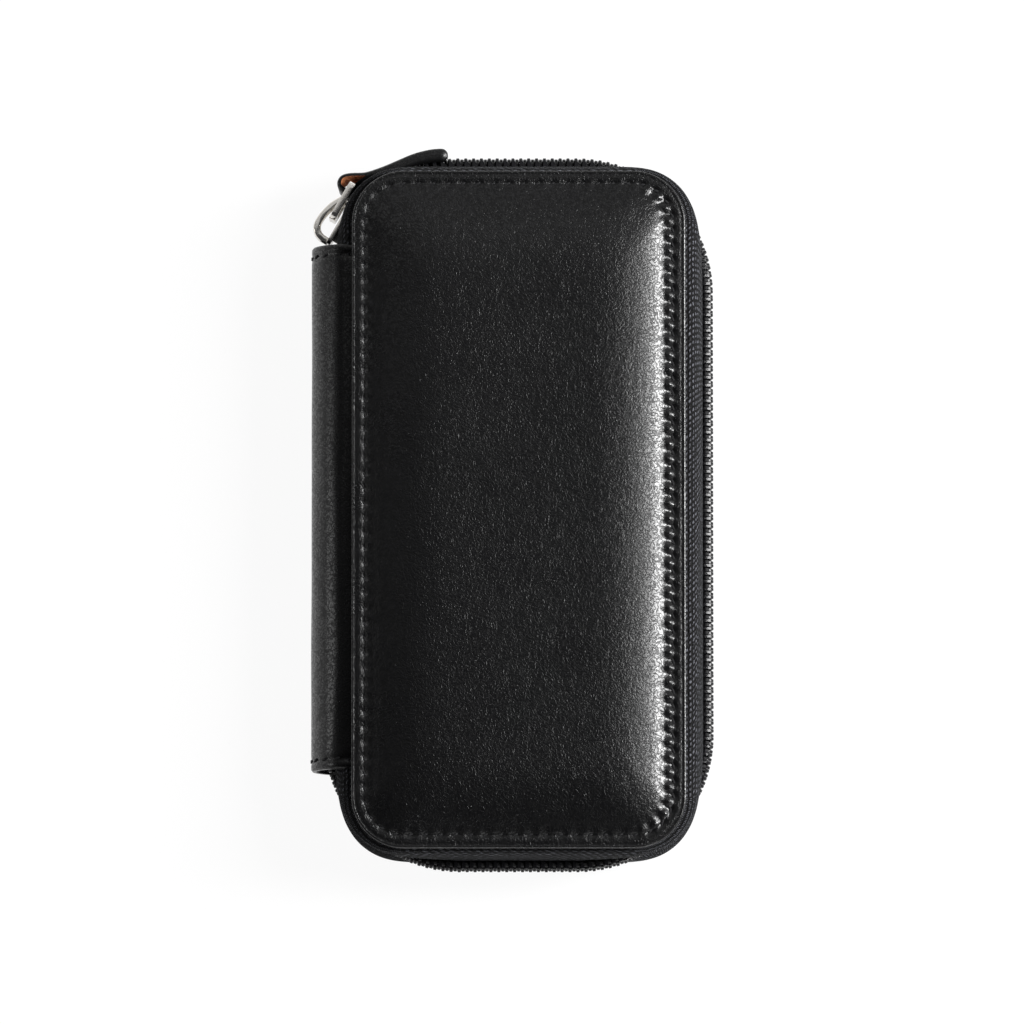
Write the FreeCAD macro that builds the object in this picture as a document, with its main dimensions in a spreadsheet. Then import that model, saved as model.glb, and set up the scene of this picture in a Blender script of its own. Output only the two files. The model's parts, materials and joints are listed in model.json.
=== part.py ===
import FreeCAD, Part
import math
import os
import Sketcher

# Zip-around pen case: two padded leather covers, a leather spine and a coil zip.
# Frame: origin on the floor under the middle of the back cover, +X away from the spine,
# +Y along the case to the end with the slider, +Z up through the front cover. Millimetres.
# Each half is drawn from the zip's plane outwards; the back half is the front half turned over.

Vector = FreeCAD.Vector
X_AXIS = Vector(1, 0, 0)
Z_AXIS = Vector(0, 0, 1)

DIMENSIONS = (
    # Cover panels
    ("panel_width", 76.5),
    ("panel_length", 156.0),
    ("panel_radius", 12.0),
    ("leather_thickness", 1.2),
    ("board_thickness", 1.4),
    ("lining_thickness", 0.8),
    ("lining_inset", 1.0),
    ("cavity_depth", 17.2),
    ("rim_width", 3.0),
    ("rim_round", 0.9),
    ("crown_height", 3.4),
    ("crown_reach", 19.0),
    ("crown_corner_radius", 7.0),
    # Zip tape and teeth
    ("tape_thickness", 0.6),
    ("tape_flange", 5.0),
    ("tape_edge_gap", 2.4),
    ("tape_wall_height", 4.6),
    ("tape_end_tuck", 4.5),
    ("tape_tuck_height", 5.5),
    ("shoulder_radius", 17.5),
    ("zip_side_bulge", 5.2),
    ("zip_end_bulge", 3.2),
    ("zip_radius", 30.0),
    ("tooth_pitch", 1.8),
    ("tooth_length", 0.75),
    ("tooth_thickness", 1.2),
    ("tooth_height", 2.3),
    ("tooth_interlock", 0.4),
    ("tooth_taper", 0.25),
    # Spine
    ("spine_setback", 16.5),
    ("spine_centre_inset", 0.6),
    ("spine_lining_thickness", 0.5),
    ("spine_end_gap", 0.3),
    # Slider
    ("slider_setback", 5.2),
    ("slider_length", 11.0),
    ("slider_rear_width", 7.0),
    ("slider_front_width", 6.4),
    ("slider_corner_radius", 1.3),
    ("slider_plate", 0.9),
    ("slider_clearance", 0.35),
    ("slider_tape_clearance", 0.85),
    ("slider_lip_width", 0.6),
    ("slider_front_lip", 0.8),
    ("slider_back_lip", 0.3),
    ("post_width", 1.8),
    ("post_length", 3.0),
    ("bridge_height", 4.75),
    ("bridge_rear_radius", 3.6),
    ("bridge_front_radius", 13.2),
    ("bridge_strip", 1.2),
    ("bridge_width", 1.9),
    # Pull link and leather tab
    ("link_length", 9.6),
    ("link_width", 8.0),
    ("link_bar", 1.0),
    ("link_lift", 1.1),
    ("link_offset", 0.0),
    ("tab_width", 5.6),
    ("tab_thickness", 1.9),
    ("tab_loop_radius", 2.4),
    ("tab_loop_hole", 1.45),
    ("tab_angle", 21.5),
    ("tab_offset", 0.45),
    ("tab_straight", 14.0),
    ("tab_bend_radius", 32.5),
    ("tab_bend_length", 9.0),
    # Pen holding inside
    ("pen_panel_width", 68.0),
    ("pen_panel_length", 142.0),
    ("pen_panel_thickness", 0.8),
    ("pocket_width", 66.0),
    ("pocket_length", 104.0),
    ("pocket_thickness", 1.0),
    ("pocket_slot", 0.5),
    ("pocket_seam", 2.5),
    ("insert_radius", 6.0),
    ("loop_bore", 15.0),
    ("loop_leg", 4.5),
    ("loop_wall", 1.0),
    ("loop_foot", 2.2),
    ("loop_length", 24.0),
    ("loop_pitch", 21.6),
    ("loop_centre", 22.0),
)
PEN_LOOPS = 3

# Levels of one half, counted outwards from the zip's plane
CAVITY_OUT = "Dims.cavity_depth / 2"
LINING_OUT = CAVITY_OUT + " + Dims.lining_thickness"
TAPE_OUT = LINING_OUT + " + Dims.tape_thickness"
BOARD_OUT = TAPE_OUT + " + Dims.board_thickness"
RIM_OUT = BOARD_OUT + " + Dims.leather_thickness"
COVER_OUT = RIM_OUT + " + Dims.crown_height"

# Crown of a cover: share of its reach from the seam, share of its height
CROWN_FULLNESS = 2.4
CROWN = [(reach, 1 - (1 - reach) ** CROWN_FULLNESS) for reach in (0.0, 0.12, 0.32, 0.62, 1.0)]
HOLLOW = CROWN[::2]

# Shoulder of the zip tape: share of its rise, share of its way in to the panel, corner radius
SHOULDER = (
    (0.0, 0.0, "Dims.zip_radius"),
    (0.54, 0.22, "Dims.shoulder_radius"),
    (1.0, 1.0, "Dims.panel_radius"),
)

SPINE_LENGTH = "Dims.panel_length - 2 * Dims.spine_setback"
SPINE_END = "Dims.panel_length / 2 - Dims.spine_setback"

doc = FreeCAD.newDocument("pen_case")
sheet = doc.addObject("Spreadsheet::Sheet", "Dims")
for row, (alias, value) in enumerate(DIMENSIONS, start=1):
    sheet.set(f"A{row}", alias)
    sheet.set(f"B{row}", str(value))
    sheet.setAlias(f"B{row}", alias)
doc.recompute()
subparts = []


def size(expression):
    """Number that an expression on the sheet stands for."""
    return float(sheet.evalExpression(expression))


def half_placement(side):
    """Front half upright on the zip's plane, back half turned over below it."""
    turn = FreeCAD.Rotation(X_AXIS, 0 if side == "front" else 180)
    return FreeCAD.Placement(Vector(0, 0, size(COVER_OUT)), turn)


def new_body(label, placement):
    body = doc.addObject("PartDesign::Body", label)
    body.Label = label
    body.Placement = placement
    subparts.append(body)
    return body


def new_sketch(body, name, role="XY_Plane", height="0"):
    """Sketch on one of the body's own planes, lifted along its normal."""
    planes = [feature for feature in body.Origin.OriginFeatures if feature.Role == role]
    sketch = body.newObject("Sketcher::SketchObject", f"{body.Label}_{name}")
    sketch.AttachmentSupport = [(planes[0], "")]
    sketch.MapMode = "FlatFace"
    sketch.setExpression(".AttachmentOffset.Base.z", height)
    return sketch


def bind(sketch, name, kind, *where, expression):
    """Add a dimension to a sketch and tie it to the sheet."""
    index = sketch.addConstraint(Sketcher.Constraint(kind, *where, size(expression)))
    sketch.renameConstraint(index, name)
    sketch.setExpression(f"Constraints.{name}", expression)


def line(sketch, start, end):
    return sketch.addGeometry(Part.LineSegment(Vector(*start, 0), Vector(*end, 0)))


def arc(sketch, centre, radius, start_deg, end_deg):
    circle = Part.Circle(Vector(*centre, 0), Z_AXIS, radius)
    return sketch.addGeometry(Part.ArcOfCircle(circle, math.radians(start_deg), math.radians(end_deg)))


def rounded_outline(sketch, width, length, radius):
    """Rectangle with round corners, centred on the sketch's origin."""
    half_width = size(width) / 2
    half_length = size(length) / 2
    corner = size(radius)
    turns = ((1, 1), (-1, 1), (-1, -1), (1, -1))
    centres = [(sx * (half_width - corner), sy * (half_length - corner)) for sx, sy in turns]
    for number, centre in enumerate(centres):
        following = centres[(number + 1) % 4]
        leave = math.radians(90 * (number + 1))
        step = (corner * math.cos(leave), corner * math.sin(leave))
        arc(sketch, centre, corner, 90 * number, 90 * (number + 1))
        line(sketch, (centre[0] + step[0], centre[1] + step[1]),
             (following[0] + step[0], following[1] + step[1]))
    for edge in range(8):
        sketch.addConstraint(Sketcher.Constraint("Tangent", edge, 2, (edge + 1) % 8, 1))
    for edge in (1, 5):
        sketch.addConstraint(Sketcher.Constraint("Horizontal", edge))
    for edge in (3, 7):
        sketch.addConstraint(Sketcher.Constraint("Vertical", edge))
    for edge in (2, 4, 6):
        sketch.addConstraint(Sketcher.Constraint("Equal", 0, edge))
    sketch.addConstraint(Sketcher.Constraint("Symmetric", 0, 3, 4, 3, -1, 1))
    bind(sketch, "width", "DistanceX", 3, 1, 7, 1, expression=width)
    bind(sketch, "length", "DistanceY", 5, 1, 1, 1, expression=length)
    bind(sketch, "radius", "Radius", 0, expression=radius)


def rectangle(sketch, left, right, bottom, top):
    """Upright rectangle; its four sides are placed from the sketch's origin."""
    x0, x1, y0, y1 = (size(side) for side in (left, right, bottom, top))
    corners = ((x0, y0), (x1, y0), (x1, y1), (x0, y1))
    edges = [line(sketch, corners[k], corners[(k + 1) % 4]) for k in range(4)]
    for k in range(4):
        sketch.addConstraint(Sketcher.Constraint("Coincident", edges[k], 2, edges[(k + 1) % 4], 1))
        sketch.addConstraint(Sketcher.Constraint(("Horizontal", "Vertical")[k % 2], edges[k]))
    tag = f"r{edges[0]}"
    bind(sketch, f"{tag}left", "DistanceX", -1, 1, edges[0], 1, expression=left)
    bind(sketch, f"{tag}right", "DistanceX", -1, 1, edges[1], 1, expression=right)
    bind(sketch, f"{tag}bottom", "DistanceY", -1, 1, edges[0], 1, expression=bottom)
    bind(sketch, f"{tag}top", "DistanceY", -1, 1, edges[2], 1, expression=top)


def disc(sketch, x, y, radius):
    circle = Part.Circle(Vector(size(x), size(y), 0), Z_AXIS, size(radius))
    edge = sketch.addGeometry(circle)
    bind(sketch, "centre_x", "DistanceX", -1, 1, edge, 3, expression=x)
    bind(sketch, "centre_y", "DistanceY", -1, 1, edge, 3, expression=y)
    bind(sketch, "radius", "Radius", edge, expression=radius)


def extrude(body, kind, sketch, length, reverse=False, midplane=False):
    """Pad or pocket of a sketch."""
    feature = body.newObject(f"PartDesign::{kind}", f"{sketch.Name}_{kind.lower()}")
    feature.Profile = sketch
    feature.setExpression("Length", length)
    feature.Reversed = reverse
    feature.Midplane = midplane
    doc.recompute()
    return feature


def loft(body, kind, sections):
    """Straight-sided loft, solid or hollow, through a list of outlines."""
    feature = body.newObject(f"PartDesign::{kind}", f"{body.Label}_{kind.lower()}")
    feature.Profile = sections[0]
    feature.Sections = sections[1:]
    feature.Ruled = True
    doc.recompute()
    return feature


def edges_where(feature, test):
    """Names of the edges whose box passes a test."""
    return [f"Edge{number}" for number, edge in enumerate(feature.Shape.Edges, start=1)
            if test(edge.BoundBox)]


def fillet(body, feature, names, radius):
    rounding = body.newObject("PartDesign::Fillet", f"{feature.Name}_round")
    rounding.Base = (feature, names)
    rounding.setExpression("Radius", radius)
    doc.recompute()
    return rounding


# Covers

def panel_sketch(body, name, inset, height, radius=None):
    """Panel outline drawn in by an inset."""
    sketch = new_sketch(body, name, height=height)
    rounded_outline(sketch, f"Dims.panel_width - 2 * ({inset})", f"Dims.panel_length - 2 * ({inset})",
                    radius or f"Dims.panel_radius - ({inset})")
    return sketch


def crown_sections(body, name, base, profile):
    """Outlines of the padded crown, from the seam up to its flat middle."""
    sections = []
    for number, (reach, rise) in enumerate(profile):
        inset = f"Dims.rim_width + Dims.crown_reach * {reach}"
        radius = f"max(Dims.panel_radius - ({inset}); Dims.crown_corner_radius)"
        sections.append(panel_sketch(body, f"{name}_{number}", inset,
                                     f"{base} + Dims.crown_height * {rise}", radius))
    return sections


def make_leather(side):
    body = new_body(f"{side}_leather", half_placement(side))
    outline = panel_sketch(body, "edge", "0", TAPE_OUT)
    edge = extrude(body, "Pad", outline, "Dims.board_thickness + Dims.leather_thickness")
    top = size(RIM_OUT)
    fillet(body, edge, edges_where(edge, lambda box: box.ZMin > top - 0.01), "Dims.rim_round")
    loft(body, "AdditiveLoft", crown_sections(body, "crown", RIM_OUT, CROWN))
    bed = panel_sketch(body, "board_bed", "Dims.leather_thickness", TAPE_OUT)
    extrude(body, "Pocket", bed, "Dims.board_thickness", reverse=True)
    loft(body, "SubtractiveLoft", crown_sections(body, "hollow", BOARD_OUT, HOLLOW))


def make_foam(side):
    body = new_body(f"{side}_foam", half_placement(side))
    loft(body, "AdditiveLoft", crown_sections(body, "crown", BOARD_OUT, HOLLOW))


def make_board(side):
    body = new_body(f"{side}_board", half_placement(side))
    extrude(body, "Pad", panel_sketch(body, "outline", "Dims.leather_thickness", TAPE_OUT),
            "Dims.board_thickness")


def make_lining(side):
    body = new_body(f"{side}_lining", half_placement(side))
    extrude(body, "Pad", panel_sketch(body, "outline", "Dims.lining_inset", CAVITY_OUT),
            "Dims.lining_thickness")


# Zip

def shoulder_sections(body, name, inwards):
    """Outlines of the tape from its woven edge over the shoulder to the panel's edge."""
    wall = "Dims.tape_wall_height"
    levels = [("Dims.tape_edge_gap / 2", SHOULDER[0])]
    levels += [(f"{wall} + ({TAPE_OUT} - {wall}) * {row[0]}", row) for row in SHOULDER]
    sections = []
    for number, (height, (rise, draw, radius)) in enumerate(levels):
        sketch = new_sketch(body, f"{name}_{number}", height=f"{height} - ({inwards}) * {rise}")
        rounded_outline(sketch,
                        f"Dims.panel_width + 2 * Dims.zip_side_bulge * {1 - draw} - 2 * ({inwards})",
                        f"Dims.panel_length + 2 * Dims.zip_end_bulge * {1 - draw} - 2 * ({inwards})",
                        f"{radius} - ({inwards})")
        sections.append(sketch)
    return sections


def make_tape(side):
    body = new_body(f"{side}_zip_tape", half_placement(side))
    loft(body, "AdditiveLoft", shoulder_sections(body, "outer", "0"))
    loft(body, "SubtractiveLoft", shoulder_sections(body, "inner", "Dims.tape_thickness"))
    middle = panel_sketch(body, "middle", "Dims.tape_flange", LINING_OUT)
    extrude(body, "Pocket", middle, "Dims.tape_thickness", reverse=True)
    spine_side = "-Dims.panel_width / 2 - Dims.zip_side_bulge - Dims.tape_flange"
    flange_tip = "-Dims.panel_width / 2 + Dims.tape_flange * 1.5"
    for name, height, half in (
            ("tuck_end", "0", f"{SPINE_END} - Dims.tape_end_tuck"),
            ("spine_seat", "Dims.tape_tuck_height", f"{SPINE_END} + Dims.spine_end_gap")):
        cut = new_sketch(body, name, height=height)
        rectangle(cut, spine_side, flange_tip, f"-({half})", half)
        extrude(body, "Pocket", cut, COVER_OUT, reverse=True)


def zip_corner():
    """Centre of the zip's round corner, in the quadrant +X +Y."""
    return Vector(size("Dims.panel_width / 2 + Dims.zip_side_bulge - Dims.zip_radius"),
                  size("Dims.panel_length / 2 + Dims.zip_end_bulge - Dims.zip_radius"), 0)


def zip_point(angle_deg, sx, sy):
    """Point on one of the zip's round corners."""
    corner = zip_corner()
    centre = Vector(sx * corner.x, sy * corner.y, 0)
    turn = math.radians(angle_deg)
    return centre + Vector(math.cos(turn), math.sin(turn), 0) * size("Dims.zip_radius")


def corner_angle(y):
    """Angle, from the X axis, at which the round corner reaches a distance along the case."""
    return math.degrees(math.asin((y - zip_corner().y) / size("Dims.zip_radius")))


def slider_angle():
    """Where the slider's middle stands on its round corner, just past the spine's end."""
    setback = math.degrees(size("Dims.slider_setback") / size("Dims.zip_radius"))
    return 180 - corner_angle(size(SPINE_END)) - setback


def zip_line():
    """Line of the teeth on the tape's outer face, from the slider round to the spine's other end."""
    corner = zip_corner()
    last = 180 + corner_angle(size(f"{SPINE_END} - Dims.tape_end_tuck"))
    corners = ((-1, 1, slider_angle(), 90), (1, 1, 90, 0),
               (1, -1, 0, -90), (-1, -1, 270, last))
    edges = []
    end = None
    for sx, sy, first_deg, last_deg in corners:
        points = [zip_point(first_deg + (last_deg - first_deg) * share, sx, sy)
                  for share in (0, 0.5, 1)]
        if end:
            edges.append(Part.LineSegment(end, points[0]).toShape())
        edges.append(Part.Arc(*points).toShape())
        end = points[2]
    return Part.Wire(edges)


def tooth_solid(facing):
    """One tooth on the X axis: outwards is +Y, and it reaches over the zip's plane."""
    thickness = size("Dims.tooth_thickness")
    height = size("Dims.tooth_height")
    interlock = size("Dims.tooth_interlock")
    taper = size("Dims.tooth_taper")
    length = size("Dims.tooth_length")
    profile = ((0, -interlock), (0, height), (thickness, height - taper), (thickness, taper - interlock))
    points = [Vector(-length / 2, y, facing * z) for y, z in profile]
    return Part.Face(Part.makePolygon(points + points[:1])).extrude(Vector(length, 0, 0))


def make_coil(side):
    """Teeth of one tape; the two tapes' teeth take turns along the line."""
    facing = 1 if side == "front" else -1
    first = 1 if side == "front" else 2
    path = zip_line()
    pairs = round(path.Length / size("Dims.tooth_pitch"))
    points = path.discretize(Number=2 * pairs + 1)
    tooth = tooth_solid(facing)
    teeth = []
    for number in range(first, 2 * pairs, 2):
        run = points[number + 1] - points[number - 1]
        heading = math.degrees(math.atan2(run.y, run.x))
        copy = tooth.copy()
        copy.Placement = FreeCAD.Placement(points[number], FreeCAD.Rotation(Z_AXIS, heading))
        teeth.append(copy)
    coil = doc.addObject("Part::Feature", f"{side}_zip_coil")
    coil.Label = f"{side}_zip_coil"
    coil.Shape = Part.makeCompound(teeth)
    coil.Placement = FreeCAD.Placement(Vector(0, 0, size(COVER_OUT)), FreeCAD.Rotation())
    subparts.append(coil)


# Spine

SPINE_CENTRE = "-Dims.panel_width / 2 + Dims.spine_centre_inset"


def half_ring(sketch, centre_x, outer, inner):
    """Upright C, open towards +X, centred on the sketch's X axis."""
    x, big, small = size(centre_x), size(outer), size(inner)
    outside = arc(sketch, (x, 0), big, 90, 270)
    inside = arc(sketch, (x, 0), small, 90, 270)
    upper = line(sketch, (x, big), (x, small))
    lower = line(sketch, (x, -big), (x, -small))
    for join in ((outside, 1, upper, 1), (upper, 2, inside, 1), (outside, 2, lower, 1), (lower, 2, inside, 2),
                 (outside, 3, inside, 3)):
        sketch.addConstraint(Sketcher.Constraint("Coincident", *join))
    sketch.addConstraint(Sketcher.Constraint("Vertical", upper))
    sketch.addConstraint(Sketcher.Constraint("Vertical", lower))
    sketch.addConstraint(Sketcher.Constraint("PointOnObject", outside, 3, -1))
    sketch.addConstraint(Sketcher.Constraint("Vertical", outside, 3, upper, 1))
    sketch.addConstraint(Sketcher.Constraint("Vertical", outside, 3, lower, 1))
    bind(sketch, "centre_x", "DistanceX", -1, 1, outside, 3, expression=centre_x)
    bind(sketch, "outer", "Radius", outside, expression=outer)
    bind(sketch, "inner", "Radius", inside, expression=inner)


def spine_placement():
    return FreeCAD.Placement(Vector(0, 0, size(COVER_OUT)), FreeCAD.Rotation())


def make_spine_leather():
    body = new_body("spine_leather", spine_placement())
    ring = new_sketch(body, "ring", "XZ_Plane")
    half_ring(ring, SPINE_CENTRE, TAPE_OUT, f"{TAPE_OUT} - Dims.leather_thickness")
    extrude(body, "Pad", ring, SPINE_LENGTH, midplane=True)
    flanges = new_sketch(body, "flanges", "XZ_Plane")
    tip = "-Dims.panel_width / 2 + Dims.tape_flange"
    rectangle(flanges, SPINE_CENTRE, tip, LINING_OUT, TAPE_OUT)
    rectangle(flanges, SPINE_CENTRE, tip, f"-({TAPE_OUT})", f"-({LINING_OUT})")
    extrude(body, "Pad", flanges, SPINE_LENGTH, midplane=True)


def make_spine_lining():
    body = new_body("spine_lining", spine_placement())
    ring = new_sketch(body, "ring", "XZ_Plane")
    outer = f"{TAPE_OUT} - Dims.leather_thickness"
    half_ring(ring, SPINE_CENTRE, outer, f"{outer} - Dims.spine_lining_thickness")
    extrude(body, "Pad", ring, SPINE_LENGTH, midplane=True)


# Slider and pull, drawn with X along the zip, Z out from the case, and set on the round corner

OUTER_PLATE = "Dims.tooth_thickness + Dims.slider_clearance"
OUTER_FACE = OUTER_PLATE + " + Dims.slider_plate"
INNER_PLATE = "-Dims.tape_thickness - Dims.slider_tape_clearance"
LINK_LEVEL = OUTER_FACE + " + Dims.link_lift + Dims.link_bar / 2"


def slider_placement(along="0", out="0"):
    """Place on the slider, moved along it and out from it."""
    angle = slider_angle()
    base = zip_point(angle, -1, 1) + Vector(0, 0, size(COVER_OUT))
    frame = FreeCAD.Rotation(Z_AXIS, angle - 90)
    shift = frame.multVec(Vector(size(along), size(out), 0))
    return FreeCAD.Placement(base + shift, frame * FreeCAD.Rotation(X_AXIS, -90))


def plate_outline(sketch):
    """Slider plate, wide at the mouth and narrower where the closed zip leaves."""
    half = size("Dims.slider_length / 2")
    rear = size("Dims.slider_rear_width / 2")
    front = size("Dims.slider_front_width / 2")
    corners = ((-half, -rear), (0, -rear), (half, -front), (half, front), (0, rear), (-half, rear))
    count = len(corners)
    edges = [line(sketch, corners[k], corners[(k + 1) % count]) for k in range(count)]
    for k in range(count):
        sketch.addConstraint(Sketcher.Constraint("Coincident", edges[k], 2, edges[(k + 1) % count], 1))
    for upper, lower in ((5, 0), (4, 1), (3, 2)):
        sketch.addConstraint(Sketcher.Constraint("Symmetric", edges[upper], 1, edges[lower], 1, -1))
    sketch.addConstraint(Sketcher.Constraint("Horizontal", edges[0]))
    sketch.addConstraint(Sketcher.Constraint("Vertical", -1, 1, edges[1], 1))
    bind(sketch, "rear_x", "DistanceX", edges[0], 1, -1, 1, expression="Dims.slider_length / 2")
    bind(sketch, "front_x", "DistanceX", -1, 1, edges[2], 1, expression="Dims.slider_length / 2")
    bind(sketch, "rear", "DistanceY", edges[0], 1, edges[5], 1, expression="Dims.slider_rear_width")
    bind(sketch, "front", "DistanceY", edges[2], 1, edges[3], 1, expression="Dims.slider_front_width")


def make_slider():
    body = new_body("slider_body", slider_placement())
    outer = new_sketch(body, "outer_plate", height=OUTER_PLATE)
    plate_outline(outer)
    extrude(body, "Pad", outer, "Dims.slider_plate")
    inner = new_sketch(body, "inner_plate", height=INNER_PLATE)
    plate_outline(inner)
    plates = extrude(body, "Pad", inner, "Dims.slider_plate", reverse=True)
    corner_edges = edges_where(plates, lambda box: box.XLength < 0.01 and box.YLength < 0.01
                               and abs(box.XMin) > 0.1)
    fillet(body, plates, corner_edges, "Dims.slider_corner_radius")
    mouth = "-Dims.slider_length / 2 + Dims.slider_corner_radius"
    post = new_sketch(body, "post", height=INNER_PLATE)
    rectangle(post, mouth, f"{mouth} + Dims.post_length", "-Dims.post_width / 2", "Dims.post_width / 2")
    extrude(body, "Pad", post, f"{OUTER_PLATE} - ({INNER_PLATE})")
    reach = "Dims.slider_length / 2 - Dims.slider_corner_radius"
    half = "Dims.slider_front_width / 2"
    for name, depth, low, high in (
            ("front_lip", "Dims.slider_front_lip", f"-({half})", f"-({half}) + Dims.slider_lip_width"),
            ("back_lip", "Dims.slider_back_lip", f"{half} - Dims.slider_lip_width", half)):
        lip = new_sketch(body, name, height=OUTER_PLATE)
        rectangle(lip, "0", reach, low, high)
        extrude(body, "Pad", lip, depth, reverse=True)


def make_bridge():
    """Cam-shaped loop over the slider: a strip with a tight rear curve and a long front one."""
    body = new_body("slider_bridge", slider_placement())
    foot = size(OUTER_FACE)
    peak = foot + size("Dims.bridge_height")
    rear = size("Dims.bridge_rear_radius")
    sweep = size("Dims.bridge_front_radius")
    strip = size("Dims.bridge_strip")
    half = size("Dims.slider_length / 2")
    top_x = rear - half
    front_x = half

    def side(offset):
        """Closed outline of the loop, drawn in by an offset."""
        tight = rear - offset
        wide = sweep - offset
        end_x = front_x - offset
        end_y = peak - sweep + math.sqrt(wide ** 2 - (end_x - top_x) ** 2)
        tight_mid = Vector(top_x - tight * math.sqrt(0.5), peak - rear + tight * math.sqrt(0.5), 0)
        lean = math.asin((end_x - top_x) / wide) / 2
        wide_mid = Vector(top_x + wide * math.sin(lean), peak - sweep + wide * math.cos(lean), 0)
        rear_foot = Vector(top_x - tight, foot, 0)
        rear_top = Vector(top_x - tight, peak - rear, 0)
        crest = Vector(top_x, peak - offset, 0)
        front_top = Vector(end_x, end_y, 0)
        front_foot = Vector(end_x, foot, 0)
        return [Part.LineSegment(rear_foot, rear_top), Part.Arc(rear_top, tight_mid, crest),
                Part.Arc(crest, wide_mid, front_top), Part.LineSegment(front_top, front_foot)]

    profile = new_sketch(body, "profile", "XZ_Plane")
    outer = side(0)
    inner = side(strip)
    for curve in outer + inner:
        profile.addGeometry(curve)
    for start, end in ((outer[0].StartPoint, inner[0].StartPoint), (outer[3].EndPoint, inner[3].EndPoint)):
        profile.addGeometry(Part.LineSegment(start, end))
    extrude(body, "Pad", profile, "Dims.bridge_width", midplane=True)


def make_link():
    body = new_body("pull_link", slider_placement("Dims.link_offset + Dims.link_length / 2", LINK_LEVEL))
    ring = new_sketch(body, "ring", height="-Dims.link_bar / 2")
    rounded_outline(ring, "Dims.link_length", "Dims.link_width", "Dims.link_bar * 1.5")
    extrude(body, "Pad", ring, "Dims.link_bar")
    window = new_sketch(body, "window", height="-Dims.link_bar / 2")
    rounded_outline(window, "Dims.link_length - 2 * Dims.link_bar", "Dims.link_width - 2 * Dims.link_bar",
                    "Dims.link_bar * 0.5")
    extrude(body, "Pocket", window, "Dims.link_bar", reverse=True)


def make_tab():
    """Leather strip folded round the link's far bar, drawn with X along it and Z up."""
    place = slider_placement("Dims.link_offset + Dims.link_length - Dims.link_bar / 2", LINK_LEVEL)
    turn = FreeCAD.Rotation(Z_AXIS, size("Dims.tab_angle"))
    body = new_body("pull_tab", FreeCAD.Placement(place.Base, turn))
    loop = new_sketch(body, "loop")
    disc(loop, "0", "0", "Dims.tab_loop_radius")
    extrude(body, "Pad", loop, "Dims.tab_width", midplane=True)
    section = new_sketch(body, "section", "YZ_Plane", "Dims.tab_loop_radius / 2")
    rectangle(section, "Dims.tab_offset - Dims.tab_thickness / 2", "Dims.tab_offset + Dims.tab_thickness / 2",
              "-Dims.tab_width / 2", "Dims.tab_width / 2")
    route = new_sketch(body, "route")
    start_x = size("Dims.tab_loop_radius / 2")
    offset = size("Dims.tab_offset")
    bend_x = start_x + size("Dims.tab_straight")
    radius = size("Dims.tab_bend_radius")
    turn_deg = math.degrees(size("Dims.tab_bend_length") / radius)
    straight = line(route, (start_x, offset), (bend_x, offset))
    bend = arc(route, (bend_x, offset - radius), radius, 90 - turn_deg, 90)
    route.addConstraint(Sketcher.Constraint("Horizontal", straight))
    route.addConstraint(Sketcher.Constraint("Tangent", straight, 2, bend, 2))
    bind(route, "start_x", "DistanceX", -1, 1, straight, 1, expression="Dims.tab_loop_radius / 2")
    bind(route, "start_y", "DistanceY", -1, 1, straight, 1, expression="Dims.tab_offset")
    bind(route, "straight", "DistanceX", straight, 1, straight, 2, expression="Dims.tab_straight")
    bind(route, "bend", "Radius", bend, expression="Dims.tab_bend_radius")
    bind(route, "bend_x", "DistanceX", bend, 2, bend, 1,
         expression="Dims.tab_bend_radius * sin(Dims.tab_bend_length / Dims.tab_bend_radius * 1 rad)")
    strip = body.newObject("PartDesign::AdditivePipe", "pull_tab_strip")
    strip.Profile = section
    strip.Spine = (route, ["Edge1", "Edge2"])
    doc.recompute()
    hole = new_sketch(body, "hole")
    disc(hole, "0", "0", "Dims.tab_loop_hole")
    extrude(body, "Pocket", hole, "Dims.tab_width", midplane=True)


# Inside

def insert_sketch(body, name, width, length, height):
    sketch = new_sketch(body, name, height=height)
    rounded_outline(sketch, width, length, "Dims.insert_radius")
    return sketch


def make_pen_panel():
    body = new_body("pen_panel", half_placement("back"))
    level = f"{CAVITY_OUT} - Dims.pen_panel_thickness"
    outline = insert_sketch(body, "outline", "Dims.pen_panel_width", "Dims.pen_panel_length", level)
    extrude(body, "Pad", outline, "Dims.pen_panel_thickness")


def make_slip_pocket():
    """Flat pocket on the front lining, sewn on three sides and open towards the slider's end."""
    body = new_body("slip_pocket", half_placement("front"))
    level = f"{CAVITY_OUT} - Dims.pocket_thickness"
    outline = insert_sketch(body, "outline", "Dims.pocket_width", "Dims.pocket_length", level)
    extrude(body, "Pad", outline, "Dims.pocket_thickness")
    slot = new_sketch(body, "slot", height=CAVITY_OUT)
    half = "Dims.pocket_width / 2 - Dims.pocket_seam"
    rectangle(slot, f"-({half})", half, "-Dims.pocket_length / 2 + Dims.pocket_seam",
              "Dims.pocket_length / 2 + Dims.pocket_seam")
    extrude(body, "Pocket", slot, "Dims.pocket_slot")


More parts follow.
